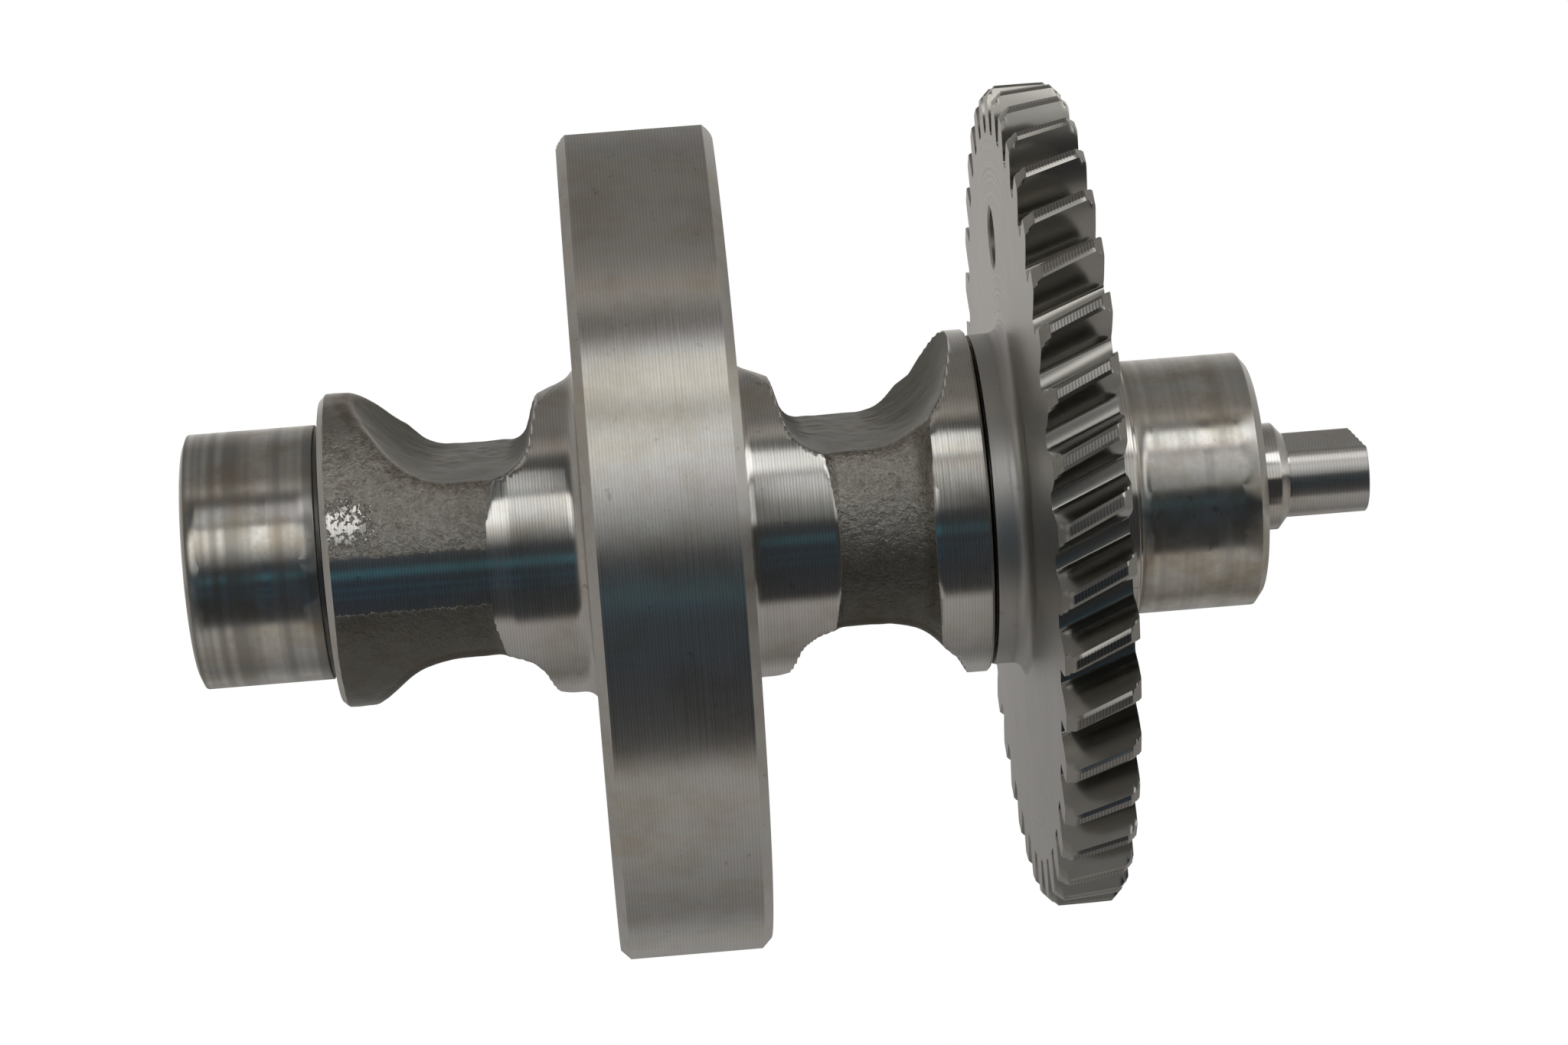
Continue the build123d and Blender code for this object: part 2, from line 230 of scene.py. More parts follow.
print("neck:", 2 * waist(32.0).min(), "mm wide and", back(32.0), "mm deep on its light side")

# %% [markdown]
# ## What the dies left, and what the lathe took
#
# The lathe cuts only what sticks out past its path, which is why the bright hubs fade into dark skin along
# a curved line. The difference between the forged radius and the lathe's path is kept for the material:
# metal was removed where it is positive.

# %% The forged radius
BAR_SHIFT, BAR_R = 2.2, 16.42
CREST_R, CREST_START, CREST_FALL, CREST_END = 18.47, 20.5, 0.12, 29.5
HUB_SHIFT, HUB_FOOT, HUB_START, HUB_FOOT_R = 4.3, 35.0, 33.5, 14.2
HUB_SWELLING, HUB_SWELLING_R, HUB_RISE = 41.3, 17.3, 0.4
SWELL_START, SWELL_GAIN, SWELL_MOST = 83.4, 0.28, 3.2
CREST_SWELL_START, CREST_SWELL = 86.2, 1.3
STEEP_START, STEEPENING = 22.3, 1.2
WAVE_HEIGHT = 0.06


def hub_radius(height):
    """Radius of the hub's bar: a 45 degree step out of the neck, and a swelling towards the disc."""
    step = HUB_FOOT_R + (height - HUB_FOOT)
    swelling = HUB_SWELLING_R + np.clip(height - HUB_SWELLING, 0, WEIGHT_LOW - HUB_SWELLING) * HUB_RISE
    return soft_min(step, swelling, 1.0)


def waviness(z):
    """Waves of the skin in every column: slow ones and finer ones, weak along the heavy side."""
    slow = lattice_noise((HEAVY + 180) / 12, np.full_like(HEAVY, z / 3.1), 3, wrap=30)
    waves = slow + 0.8 * lattice_noise((HEAVY + 180) / 5, np.full_like(HEAVY, z / 1.2), 4, wrap=72)
    return waves * WAVE_HEIGHT * np.clip(np.abs(HEAVY) / 35, 0.1, 1)


def forged(z):
    """Forged radius in every column at height z, and how far the bars stand out past the dies' walls.

    Three round bars overlap, each about its own centre, and the waist and the back are pressed into them.
    The forging is the same on both sides of its middle, but for the second neck's swelling at its flange."""
    height = min(z, 2 * MIDDLE - z)
    swell = max(z - SWELL_START, 0) ** 2 * SWELL_GAIN
    bars = to_circle(BAR_SHIFT, BAR_R + min(swell, SWELL_MOST))
    crest = CREST_R - max(height - CREST_START, 0) * CREST_FALL + max(z - CREST_SWELL_START, 0) * CREST_SWELL
    if height < CREST_END:
        bars = soft_max(bars, np.full_like(bars, crest), 0.2)
    if height > HUB_START:
        bars = soft_max(bars, to_circle(HUB_SHIFT, hub_radius(height)), 0.6)
    steepening = max(STEEP_START - height, 0) * STEEPENING if z > MIDDLE else 0.0
    flanks = (waist(height) + steepening) / np.maximum(np.abs(COS), NEARLY_PARALLEL)
    light_side = to_wall(back(height), SIN)
    radius = soft_min(soft_min(bars, flanks, 0.8), light_side, 0.9)
    return radius + waviness(z), bars - np.minimum(flanks, light_side)


neck = forged(32.0)[0]
print("forged neck:", neck.min().round(2), "to", neck.max().round(2), "mm from the axis")

# %% [markdown]
# ## The lathe's path
#
# Between the flanges the lathe turns three diameters. On the first neck it only just reached the forging,
# and left a bright strip and a few patches there, so that stretch gets its stock from a formula of its own.

# %% Path and stock
HUB_RUN_IN = 2.5
STRIP_STOCK, STRIP_HALF_ANGLE = 0.22, 10.5
PATCH_HEIGHT, PATCH_ANGLE = 18.2, -22
PATCH_REACH, PATCH_SPREAD = 4.6, 11
LEAST_STOCK = -0.3


def lathe_path(z):
    """Radius that the lathe leaves at height z, between the flanges: the first flange with its chamfer, a
    straight run up to the hub's radius, and the second flange's radius after the second hub."""
    if z < HUB_FOOT + HUB_RUN_IN:
        on_neck = min(FLANGE_A_R, FLANGE_A_R - FLANGE_CHAMFER + (z - FLANGE_A))
        return on_neck + (HUB_R - FLANGE_A_R) * max(z - HUB_FOOT, 0) / HUB_RUN_IN
    if z < 2 * MIDDLE - HUB_FOOT:
        return HUB_R
    return FLANGE_B_R


def cleaned(z):
    """Extra stock in every column on the first neck. The strip's is one less the square of the angle over
    its half angle. The patches near the flange fall off with the square of the way from their middle."""
    strip = STRIP_STOCK * (1 - (HEAVY / STRIP_HALF_ANGLE) ** 2)
    up, beside = (z - PATCH_HEIGHT) / PATCH_REACH, (PATCH_ANGLE - HEAVY) / PATCH_SPREAD
    patches = 0.016 - 0.032 * up**2 - 0.036 * beside**2
    return np.maximum(np.maximum(strip, patches), LEAST_STOCK)


print("lathe's radius on neck and hubs:", [round(lathe_path(z), 2) for z in (20, 40, 60, 80)])

# %% [markdown]
# ## The half-disc's outline
#
# Seen from the end, the counterweight is a sector of a circle whose two flanks fall back towards the hub.
# The flanks keep their forged skin and rounded edges, and the rim and both faces are turned.

# %% The sector's radius
FLANK_SLOPE = math.tan(math.radians(25))
FLANK_STRETCH = 1.103
BOSS_SHIFT, BOSS_R = 4.3, 18.35
EDGE_R = 1.5
RIM_STOCK = 0.35


def wedge(inset):
    """Radius of the part of the big circle that lies on the heavy side of the half-disc's two flanks. The
    flanks are drawn in by inset, which lowers them by inset over the cosine of their slope."""
    corner = math.radians(WEIGHT_HALF_ANGLE)
    corner_x, corner_y = WEIGHT_R * math.sin(corner), -WEIGHT_R * math.cos(corner)
    flank_y = corner_y + corner_x * FLANK_SLOPE - inset * FLANK_STRETCH
    flank = to_wall(flank_y, SIN + np.abs(COS) * FLANK_SLOPE)
    return soft_min(np.full_like(ROUND, WEIGHT_R), flank, 0.9)


def sector(inset):
    """Radius of the half-disc in every column: the wedge, joined to the boss round the hub."""
    return soft_max(wedge(inset), to_circle(BOSS_SHIFT, BOSS_R), 2.4)


def rounding(depth):
    """How far the half-disc's rounded edge is drawn in at this depth below its face: the edge's radius less
    the root of its square less the square of the radius left, which is a quarter circle."""
    depth = min(depth, EDGE_R)
    return EDGE_R - math.sqrt(EDGE_R**2 - (EDGE_R - depth) ** 2)


print("half-disc:", sector(0).max(), "mm out to the rim,", sector(0).min().round(2), "on the light side")

# %% [markdown]
# ## The profile, from end to end
#
# Each row of the surface is a height, a radius in every column, and how much metal the lathe removed there.
# Turned parts are a few straight runs. Forged parts need a row about every 0.4 mm, because their curves
# come from the rows alone.

# %% Helpers for rows
rows = []


def row(z, radius, stock=1.0, pressed=0.0):
    """Adds one row. A plain number stands for the same value in every column."""
    rows.append((z, *(np.broadcast_to(value, ROUND.shape) for value in (radius, stock, pressed))))


def profile(*places):
    """Rows at the corners of a turned profile, each given as (height, radius)."""
    for z, radius in places:
        row(z, radius)


def run(start, end, steps):
    """Evenly spaced rows along a straight run of the profile, from (height, radius) to (height, radius)."""
    for share in np.linspace(0, 1, steps):
        row(start[0] + (end[0] - start[0]) * share, start[1] + (end[1] - start[1]) * share)


def forged_rows(heights):
    """Rows on a forged length: the forged radius, cut back to the lathe's path where it sticks out. The
    stock is the forged radius less the path, except on the first neck, which has its own."""
    for z in heights:
        raw, pressed = forged(z)
        limit = lathe_path(z)
        stock = raw - limit
        if z < FLANGE_A + FLANGE_CHAMFER:
            stock = np.maximum(cleaned(z), stock)
        elif z < HUB_FOOT:
            stock = cleaned(z)
        row(z, np.where(stock > 0, limit, np.minimum(raw, limit)), stock, pressed)


# %% [markdown]
# ## The first journal and neck
#
# The profile starts inside the shaft. Every lathe that holds a shaft between two points leaves a centre
# drilling in each end, and that is the same profile carried on inwards. The journal ends in a chamfer and a
# relief groove, which gives the grinding wheel room to run out.

# %% Rows from the first end to the half-disc
PILOT_A, PILOT_A_R = 3.07, 1.575
TOUCHING = 0.02
RELIEF_A_R = 14.5

profile((PILOT_A + 4.1, TOUCHING), (PILOT_A + 3.15, PILOT_A_R), (PILOT_A, PILOT_A_R), (0.12, 3.35), (0, 3.48))
profile((0, 8.5), (0, 13.7), (0.05, 13.88), (0.5, 14.93), (0.65, JOURNAL_R))
run((2, JOURNAL_R), (15.2, JOURNAL_R), 8)
profile((15.35, 14.97), (15.5, 14.55), (15.7, RELIEF_A_R), (16.2, RELIEF_A_R), (FLANGE_A, 14.6))
row(FLANGE_A, FLANGE_A_R - FLANGE_CHAMFER)
forged_rows([16.27, 16.5, 16.75, 17.0, 17.06, 17.5])
forged_rows(np.arange(18.0, 34.8, 0.42))
forged_rows([34.85, 35.05])
forged_rows(np.arange(35.3, 44.6, 0.36))
print("rows up to the half-disc:", len(rows))

# %% [markdown]
# ## The half-disc's rows
#
# A row may widen a lot at one height, which is how the flat faces are made: from the hub's fillet out to
# the rim, in a few steps, so that no face is a long sliver. The upper side is the lower one in reverse.

# %% Rows of the half-disc
FILLET = 1.8


def weight_rows(side):
    """Hub fillet, face and bevelled rim, from the inside out for side 1, the lower face, and from the
    outside in for side -1, the upper one. The fillet is a quarter circle, and the face a straight line."""
    face = WEIGHT_LOW if side > 0 else WEIGHT_HIGH
    parts = []
    for angle in np.radians(np.linspace(0, 90, 7)):
        z = face - side * FILLET * (1 - math.sin(angle))
        raw, pressed = forged(z)
        hub = np.minimum(raw, HUB_R)
        grown = np.minimum(wedge(EDGE_R), hub + FILLET * (1 - math.cos(angle)))
        parts.append((z, np.maximum(hub, grown), raw - HUB_R, pressed))
    inner = parts[-1][1]
    outer = np.maximum(inner, np.minimum(sector(EDGE_R), WEIGHT_R - WEIGHT_CHAMFER))
    for share in (0.04, 0.2, 0.4, 0.6, 0.8, 0.96, 1.0):
        parts.append((face, inner + (outer - inner) * share, 1.0, pressed))
    for depth in (0.12, 0.3, 0.6, WEIGHT_CHAMFER, EDGE_R):
        limit = min(WEIGHT_R, WEIGHT_R - WEIGHT_CHAMFER + depth)
        radius = np.maximum(np.minimum(sector(rounding(depth)), limit), inner)
        parts.append((face + side * depth, radius, sector(0) - WEIGHT_R + RIM_STOCK))
    for part in parts[::side]:
        row(*part)


weight_rows(1)
full = sector(0)
for z in np.arange(WEIGHT_LOW + 2.2, WEIGHT_HIGH - 1.6, 0.8):
    hub = np.minimum(forged(z)[0], HUB_R)
    row(z, np.maximum(full.clip(0, WEIGHT_R), hub), full - WEIGHT_R + RIM_STOCK)
weight_rows(-1)
print("rows up to the second hub:", len(rows))

# %% [markdown]
# ## The second neck, the gear's seat and the second journal
#
# The rows go on in the same way. The seat under the gear is a little smaller than the gear's bore, so that
# the two surfaces don't lie in each other, and the gear hides it.

# %% Rows from the half-disc to the tang
SEAT_R, SHOULDER_R = 15.97, 16.0
RELIEF_B, RELIEF_B_R = 109.8, 14.84
JOURNAL_B_END, STUB_R, TANG_R = 125.1, 6.35, 5.0

forged_rows(np.arange(65.8, 75.2, 0.36))
forged_rows([75.25, 75.4])
forged_rows(np.arange(75.7, 90.0, 0.42))
forged_rows([90.3, 91.0, 91.95])
row(FLANGE_B, FLANGE_B_R - 0.3)
profile((FLANGE_B, 18.4), (92.3, 18.3), (92.74, 18.3), (92.75, 18.2), (92.75, SEAT_R))
profile((GEAR_HIGH, SEAT_R), (105.02, SHOULDER_R), (109.55, SHOULDER_R), (109.62, 15.98), (RELIEF_B, 15.75))
profile((RELIEF_B, 14.9), (109.85, RELIEF_B_R), (110.15, RELIEF_B_R), (110.35, 14.97), (110.42, JOURNAL_R))
run((111.5, JOURNAL_R), (124.0, JOURNAL_R), 7)
profile((124.1, 14.98), (125.05, 13.78), (JOURNAL_B_END, 13.65), (JOURNAL_B_END, 6.55), (125.16, 6.38))
profile((125.4, STUB_R), (127.9, STUB_R), (128.0, 6.3), (129.05, 5.05), (129.12, TANG_R))
print("rows up to the tang:", len(rows))

# %% [markdown]
# ## The tang
#
# The thin end drives something small through one flat, and one side of its tip is bevelled to find its way
# in. Both are flat planes, so each only limits how far the rays go.

# %% Rows of the tang
FLAT_FROM_AXIS, FLAT_ANGLE = 4.35, 195.7
BEVEL_ANGLE, BEVEL_AT_TIP, BEVEL_GAIN, BEVEL_LENGTH = 166.7, 2.55, 5.45, 2.75
PILOT_B, PILOT_B_R = 1.95, 1.0
flat_side = np.cos(ROUND - math.radians(FLAT_ANGLE))
bevel_side = np.cos(ROUND - math.radians(BEVEL_ANGLE))


def tang(z, radius):
    """Radius of the tang in every column: a circle, cut by the flat and by the bevel, whose plane moves
    towards the axis with height."""
    flat = to_wall(FLAT_FROM_AXIS, flat_side)
    bevel = to_wall(BEVEL_AT_TIP + (LENGTH - z) * BEVEL_GAIN / BEVEL_LENGTH, bevel_side)
    return soft_min(soft_min(np.full_like(ROUND, radius), flat, 0.12), bevel, 0.12)


row(129.2, TANG_R)
for z in (129.22, 130.5, 133, 135.0, *np.linspace(135.6, 138.5, 13)):
    row(z, tang(z, TANG_R))
tang_end = tang(LENGTH, TANG_R - 0.1)
row(LENGTH, tang_end)
row(LENGTH, np.minimum(tang_end, 3.2))
profile((LENGTH, 2.2), (LENGTH - 0.06, 2.1), (LENGTH - PILOT_B, PILOT_B_R))
profile((LENGTH - (PILOT_B + 2.0), PILOT_B_R), (LENGTH - (PILOT_B + 2.6), TOUCHING))
print("rows:", len(rows), "points:", len(rows) * len(ROUND))

# %% [markdown]
# ## From rows to a mesh
#
# The rows and columns make a grid that closes round the axis. Its two ends are closed by one point each, in
# the tips of the centre drillings. Edges that turn by more than 28 degrees are marked sharp, so that the
# turned shoulders stay crisp and everything between them is shaded smooth.


# %% Grids to meshes, meshes to pieces
def ring_quads(n_rows, n_columns):
    """Quads of a grid that closes round the axis: quad (i, j) joins row i to row i + 1 and column j to
    column j + 1, and the last column to the first."""
    i, j = np.meshgrid(np.arange(n_rows - 1), np.arange(n_columns), indexing="ij")
    beside = (j + 1) % n_columns
    low, high = i * n_columns, (i + 1) * n_columns
    return np.stack([low + j, low + beside, high + beside, high + j], -1).reshape(-1, 4)


def closed_tube(name, points):
    """Mesh of a closed tube of points, given as rows by columns by three. Each end is closed by a fan of
    triangles round one more point, the mean of the end row."""
    n_rows, n_columns = points.shape[:2]
    ends = np.stack([points[0].mean(axis=0), points[-1].mean(axis=0)])
    first, top = n_rows * n_columns, (n_rows - 1) * n_columns
    column = np.arange(n_columns)
    beside = (column + 1) % n_columns
    low_fan = np.stack([np.full(n_columns, first), beside, column], -1)
    high_fan = np.stack([np.full(n_columns, first + 1), top + column, top + beside], -1)
    faces = ring_quads(n_rows, n_columns).tolist() + low_fan.tolist() + high_fan.tolist()
    mesh = bpy.data.meshes.new(name)
    mesh.from_pydata(np.concatenate([points.reshape(-1, 3), ends]).tolist(), [], faces)
    return mesh


def dress(name, mesh, sharp, node):
    """Puts a mesh in the scene in place of a CAD node, shaded smooth up to the sharp angle."""
    mesh.update()
    mesh.shade_smooth()
    mesh.set_sharp_from_angle(angle=math.radians(sharp))
    piece = bpy.data.objects.new(name, mesh)
    bpy.context.collection.objects.link(piece)
    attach(piece, "root")
    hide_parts(node)
    return piece


# %% [markdown]
# ## The shaft's mesh
#
# The rows are stacked into whole arrays, and cosine and sine turn the radii into places. The stock and the
# "pressed" values go with the mesh as attributes, one number per point, which the material reads later.

# %% Build the shaft
heights = np.array([z for z, *_ in rows])
radii, stocks, presses = (np.stack([part[place] for part in rows]) for place in (1, 2, 3))
along = np.broadcast_to(heights[:, None], radii.shape)
points = np.stack([radii * COS, radii * SIN, along], axis=-1)
shaft_mesh = closed_tube("forged_shaft", points * MM)
for name, values in (("stock", stocks), ("pressed", presses)):
    layer = shaft_mesh.attributes.new(name, "FLOAT", "POINT")
    layer.data.foreach_set("value", np.concatenate([values.ravel(), [1.0, 1.0]]).astype(np.float32))
shaft = dress("forged_shaft", shaft_mesh, 28, "balance_shaft")
print("shaft faces:", len(shaft_mesh.polygons))

# %% [markdown]
# ## The gear's teeth
#
# The flank of a gear tooth is an involute: the path of a string's end as it unwinds from the base circle.
# For any radius the involute gives the tooth's half angle, so one tooth is a short list of radii and angles,
# and the ring is that list turned to 41 places. The teeth are helical, so each row up the gear is the same
# outline turned a little further. The teeth are drawn here with finer steps than in the CAD model, because
# polished flanks show every facet.

# %% The outline of the toothed ring
MODULE, HELIX, NORMAL_PRESSURE = 2.05, math.radians(24), math.radians(17.5)
PITCH_R = TEETH * MODULE / math.cos(HELIX) / 2
PRESSURE = math.atan(math.tan(NORMAL_PRESSURE) / math.cos(HELIX))
BASE_R = PITCH_R * math.cos(PRESSURE)
TWIST = -math.degrees((GEAR_HIGH - GEAR_LOW) * math.tan(HELIX) / PITCH_R)
FIRST_TOOTH = -108.7
ROOT_FILLET, EDGE_BEVEL, BEVEL_ON_TIP = 0.95, 0.28, 0.3
HALF_BOTTOM, TIP_INNER_SHARE, NUDGE = 0.9, 0.35, 0.02


def half_tooth(radius):
    """Half a tooth's angle at a radius, in degrees: at the pitch circle a quarter of the pitch, plus the
    involute of the pressure angle, less the involute of the angle at this radius. The involute of an angle
    is its tangent less the angle."""
    angle = np.arccos(np.minimum(BASE_R / radius, 1))
    return np.degrees(math.pi / (2 * TEETH) + math.tan(PRESSURE) - PRESSURE - (np.tan(angle) - angle))


def tooth_outline():
    """Radius and angle of one tooth's points, from the middle of one gap to the middle of the next: bottom,
    fillet, involute, bevel and tip. The fillet is a quadratic curve, pulled towards the corner where the
    bottom would meet the flank."""
    gap = 180 / TEETH
    flank_r = np.linspace(ROOT_R + ROOT_FILLET, TIP_R - EDGE_BEVEL, 8)
    flank_a = half_tooth(flank_r)
    share = np.linspace(0, 1, 6)[1:-1]
    start, pull, end = (1 - share) ** 2, 2 * share * (1 - share), share**2
    bottom = gap - HALF_BOTTOM
    fillet_r = start * ROOT_R + pull * (ROOT_R + NUDGE) + end * flank_r[0]
    fillet_a = start * bottom + pull * (flank_a[0] + NUDGE) + end * flank_a[0]
    tip = half_tooth(TIP_R) - math.degrees(BEVEL_ON_TIP / TIP_R)
    half_r = np.concatenate([[ROOT_R, ROOT_R], fillet_r, flank_r, [TIP_R, TIP_R]])
    half_a = np.concatenate([[gap, bottom], fillet_a, flank_a, [tip, tip * TIP_INNER_SHARE]])
    return np.concatenate([half_r, half_r[::-1][:-1]]), np.concatenate([-half_a, half_a[::-1][:-1]])


tooth_radii, tooth_angles = tooth_outline()
centres = FIRST_TOOTH - TWIST / 2 + np.arange(TEETH) * 360 / TEETH
ring_radii = np.tile(tooth_radii, TEETH)
ring_angles = np.radians((centres[:, None] + tooth_angles[None, :]).ravel())
print("tooth points:", len(tooth_radii), "ring points:", len(ring_radii))

# %% [markdown]
# ## The toothed ring
#
# The ring is a grid like the shaft's, with a bevel at both ends of its teeth, which keeps them from
# chipping. Two more grids lead from the teeth's roots in to a plain circle on either side.

# %% Grid of the toothed ring
TOOTH_BEVEL_DEPTH, TOOTH_BEVEL_WIDTH = 1.2, 1.15
RING_INSIDE_R = 42.2
faces, corners = [], []


def add_grid(points):
    """Adds the points, rows by columns by three, and their quads to the gear's two lists."""
    start = sum(len(block) for block in corners)
    corners.append(points.reshape(-1, 3))
    faces.extend((ring_quads(*points.shape[:2]) + start).tolist())


def circle_row(radius, z, angles):
    """Points at a height: radius times cosine, radius times sine."""
    return np.stack([radius * np.cos(angles), radius * np.sin(angles), np.full_like(angles, z)], -1)


def toothed_row(z):
    """The outline at one height: turned by its share of the twist and cut by the bevel at either end."""
    up = min(z - GEAR_LOW, GEAR_HIGH - z)
    limit = TIP_R - TOOTH_BEVEL_DEPTH + up * TOOTH_BEVEL_DEPTH / TOOTH_BEVEL_WIDTH
    turned_to = ring_angles + math.radians(TWIST) * (z - GEAR_LOW) / (GEAR_HIGH - GEAR_LOW)
    return circle_row(np.minimum(ring_radii, limit), z, turned_to)


bevel_steps = np.array([0, 0.14, 0.29, 0.43, 0.57, 0.72, 0.86, 1.0]) * TOOTH_BEVEL_WIDTH
between_bevels = np.linspace(GEAR_LOW + 1.9, GEAR_HIGH - 1.9, 7)
widths = np.concatenate([GEAR_LOW + bevel_steps, between_bevels, (GEAR_HIGH - bevel_steps)[::-1]])
add_grid(np.stack([toothed_row(z) for z in widths]))
low_loop = circle_row(RING_INSIDE_R, GEAR_LOW, ring_angles)
high_loop = circle_row(RING_INSIDE_R, GEAR_HIGH, ring_angles + math.radians(TWIST))
add_grid(np.stack([low_loop, toothed_row(GEAR_LOW)]))
add_grid(np.stack([toothed_row(GEAR_HIGH), high_loop]))
print("rows of teeth:", len(widths), "twist:", round(TWIST, 2), "degrees")

# %% [markdown]
# ## The bore, the collar and the hole
#
# The gear sits on the shaft by its bore and stands against the flange with a collar, which runs into the
# web with a fillet, a quarter circle. The web has one hole through it. Each is one more closed grid.

# %% Grids of collar and hole
BORE_R, BORE_CHAMFER = 16.0, 0.25
COLLAR_LOW, COLLAR_R, COLLAR_FILLET = 92.75, 19.55, 1.8
HOLE_R, HOLE_CHAMFER, HOLE_FROM_AXIS, HOLE_ANGLE = 3.6, 0.25, 30.8, math.radians(166.7)
HOLE_MOUTH_R = HOLE_R + HOLE_CHAMFER
FILLET_END_R = COLLAR_R + COLLAR_FILLET

bore_angles = np.linspace(0, 2 * math.pi, 192, endpoint=False)
hole_angles = np.linspace(0, 2 * math.pi, 64, endpoint=False)
hole_x, hole_y = HOLE_FROM_AXIS * math.cos(HOLE_ANGLE), HOLE_FROM_AXIS * math.sin(HOLE_ANGLE)

collar = [(BORE_R + BORE_CHAMFER, GEAR_HIGH), (BORE_R, GEAR_HIGH - BORE_CHAMFER)]
collar += [(BORE_R, COLLAR_LOW + 0.2), (BORE_R + 0.15, COLLAR_LOW), (COLLAR_R - 0.25, COLLAR_LOW)]
collar += [(COLLAR_R - 0.05, COLLAR_LOW + 0.08), (COLLAR_R, COLLAR_LOW + 0.25)]
for angle in np.radians(np.linspace(0, 90, 8)):
    radius = FILLET_END_R - COLLAR_FILLET * math.cos(angle)
    collar.append((radius, GEAR_LOW - COLLAR_FILLET + COLLAR_FILLET * math.sin(angle)))
add_grid(np.stack([circle_row(r, z, bore_angles) for r, z in collar]))


def hole_row(radius, z):
    """A circle about the hole's own centre."""
    return circle_row(radius, z, hole_angles) + np.array([hole_x, hole_y, 0])


hole = [(HOLE_MOUTH_R, GEAR_HIGH), (HOLE_R, GEAR_HIGH - HOLE_CHAMFER)]
hole += [(HOLE_R, GEAR_LOW + HOLE_CHAMFER), (HOLE_MOUTH_R, GEAR_LOW)]
add_grid(np.stack([hole_row(r, z) for r, z in hole]))
print("points of the gear's grids:", sum(len(block) for block in corners))

# %% [markdown]
# ## The gear's flat sides
#
# A flat side has a hole off its centre, which no grid follows, so each side is filled by a Delaunay
# triangulation between three loops: the ring inside the teeth, the collar or bore, and the hole. The loops
# share their points with the grids next to them, so that merging the doubles leaves one closed skin.

# %% Fill the sides
BORE_SLACK, HOLE_SLACK = 0.9998, 0.9985


def fill_side(loops, z, upwards):
    """Flat side between loops of points: the triangles whose middle lies within the first loop and outside
    the second and the third. The slacks allow for a loop's sides, which cut inside its circle."""
    flat, edges = [], []
    for loop in loops:
        start = len(flat)
        flat.extend(Vector(point[:2]) for point in loop)
        edges.extend((start + n, start + (n + 1) % len(loop)) for n in range(len(loop)))
    spots, _, triangles, *_ = geometry.delaunay_2d_cdt(flat, edges, [], 0, 1e-5)
    spots = np.array([list(spot) for spot in spots])
    triangles = np.array(triangles)
    middle = spots[triangles].mean(axis=1)
    radius = np.hypot(middle[:, 0], middle[:, 1])
    from_hole = np.hypot(middle[:, 0] - hole_x, middle[:, 1] - hole_y)
    bore_r = np.hypot(*loops[1][0][:2])
    in_web = (radius < RING_INSIDE_R) & (radius > bore_r * BORE_SLACK)
    triangles = triangles[in_web & (from_hole > HOLE_MOUTH_R * HOLE_SLACK)]
    start = sum(len(block) for block in corners)
    corners.append(np.column_stack([spots, np.full(len(spots), z)]))
    faces.extend(((triangles if upwards else triangles[:, ::-1]) + start).tolist())


for loop, inner_r, z in ((low_loop, FILLET_END_R, GEAR_LOW), (high_loop, BORE_R + BORE_CHAMFER, GEAR_HIGH)):
    fill_side([loop, circle_row(inner_r, z, bore_angles), hole_row(HOLE_MOUTH_R, z)], z, z == GEAR_HIGH)
print("faces before merging:", len(faces))

# %% [markdown]
# ## One closed skin
#
# The grids and sides become one mesh. Points that lie within two thousandths of a millimetre are merged,
# and then the faces are turned to point outwards. An edge that hasn't exactly two faces would be a gap, so
# they are counted.

# %% Build the gear
gear_mesh = bpy.data.meshes.new("helical_gear")
gear_mesh.from_pydata((np.concatenate(corners) * MM).tolist(), [], faces)
cleaner = bmesh.new()
cleaner.from_mesh(gear_mesh)
bmesh.ops.remove_doubles(cleaner, verts=cleaner.verts, dist=2e-6)
bmesh.ops.dissolve_degenerate(cleaner, dist=1e-7, edges=cleaner.edges)
bmesh.ops.recalc_face_normals(cleaner, faces=cleaner.faces)
open_edges = sum(1 for edge in cleaner.edges if len(edge.link_faces) != 2)
cleaner.to_mesh(gear_mesh)
cleaner.free()
gear = dress("helical_gear", gear_mesh, 24, "drive_gear")
print("gear faces:", len(gear_mesh.polygons), "open edges:", open_edges)

# %% [markdown]
# ## Shader maths as plain expressions
#
# A procedural finish is arithmetic on positions. Wiring it by hand hides the arithmetic, so one small class
# wraps the output of a node, and adding or multiplying two of them adds the Math nodes. Every other node
# comes from a single method that takes the node's type, its settings and its inputs.


# %% Wires
class Wire:
    """The output of a node. Arithmetic on wires and numbers adds Math nodes to the same tree."""

    def __init__(self, tree, socket):
        self.tree, self.socket = tree, socket

    def math(self, operation, *values):
        """A Math node with this wire first and the values after it."""
        inputs = {f"i{place}": value for place, value in enumerate((self, *values))}
        return self.tree.node("ShaderNodeMath", {"operation": operation}, **inputs)

    def __add__(self, other):
        return self.math("ADD", other)

    def __sub__(self, other):
        return self.math("SUBTRACT", other)

    def __rsub__(self, other):
        return (self * -1.0) + other

    def __mul__(self, other):
        return self.math("MULTIPLY", other)

    def __truediv__(self, other):
        return self.math("DIVIDE", other)

    __radd__, __rmul__ = __add__, __mul__

    def clamp(self):
        """This value, kept between 0 and 1."""
        return self.math("MULTIPLY", 1.0).settle()

    def settle(self):
        """Has the wire's own Math node keep its result between 0 and 1."""
        self.socket.node.use_clamp = True
        return self

    def above(self, level, width):
        """0 below the level and 1 above it, with a straight ramp of this width between."""
        return ((self - level) / width + 0.5).settle()

    def between(self, low, high, width):
        """1 from low to high and 0 outside, with a ramp of this width at both."""
        return self.above(low, width) * (1.0 - self.above(high, width))


def part_way(share, first, second):
    """Number between first and second: first plus share times their difference."""
    return share * (second - first) + first


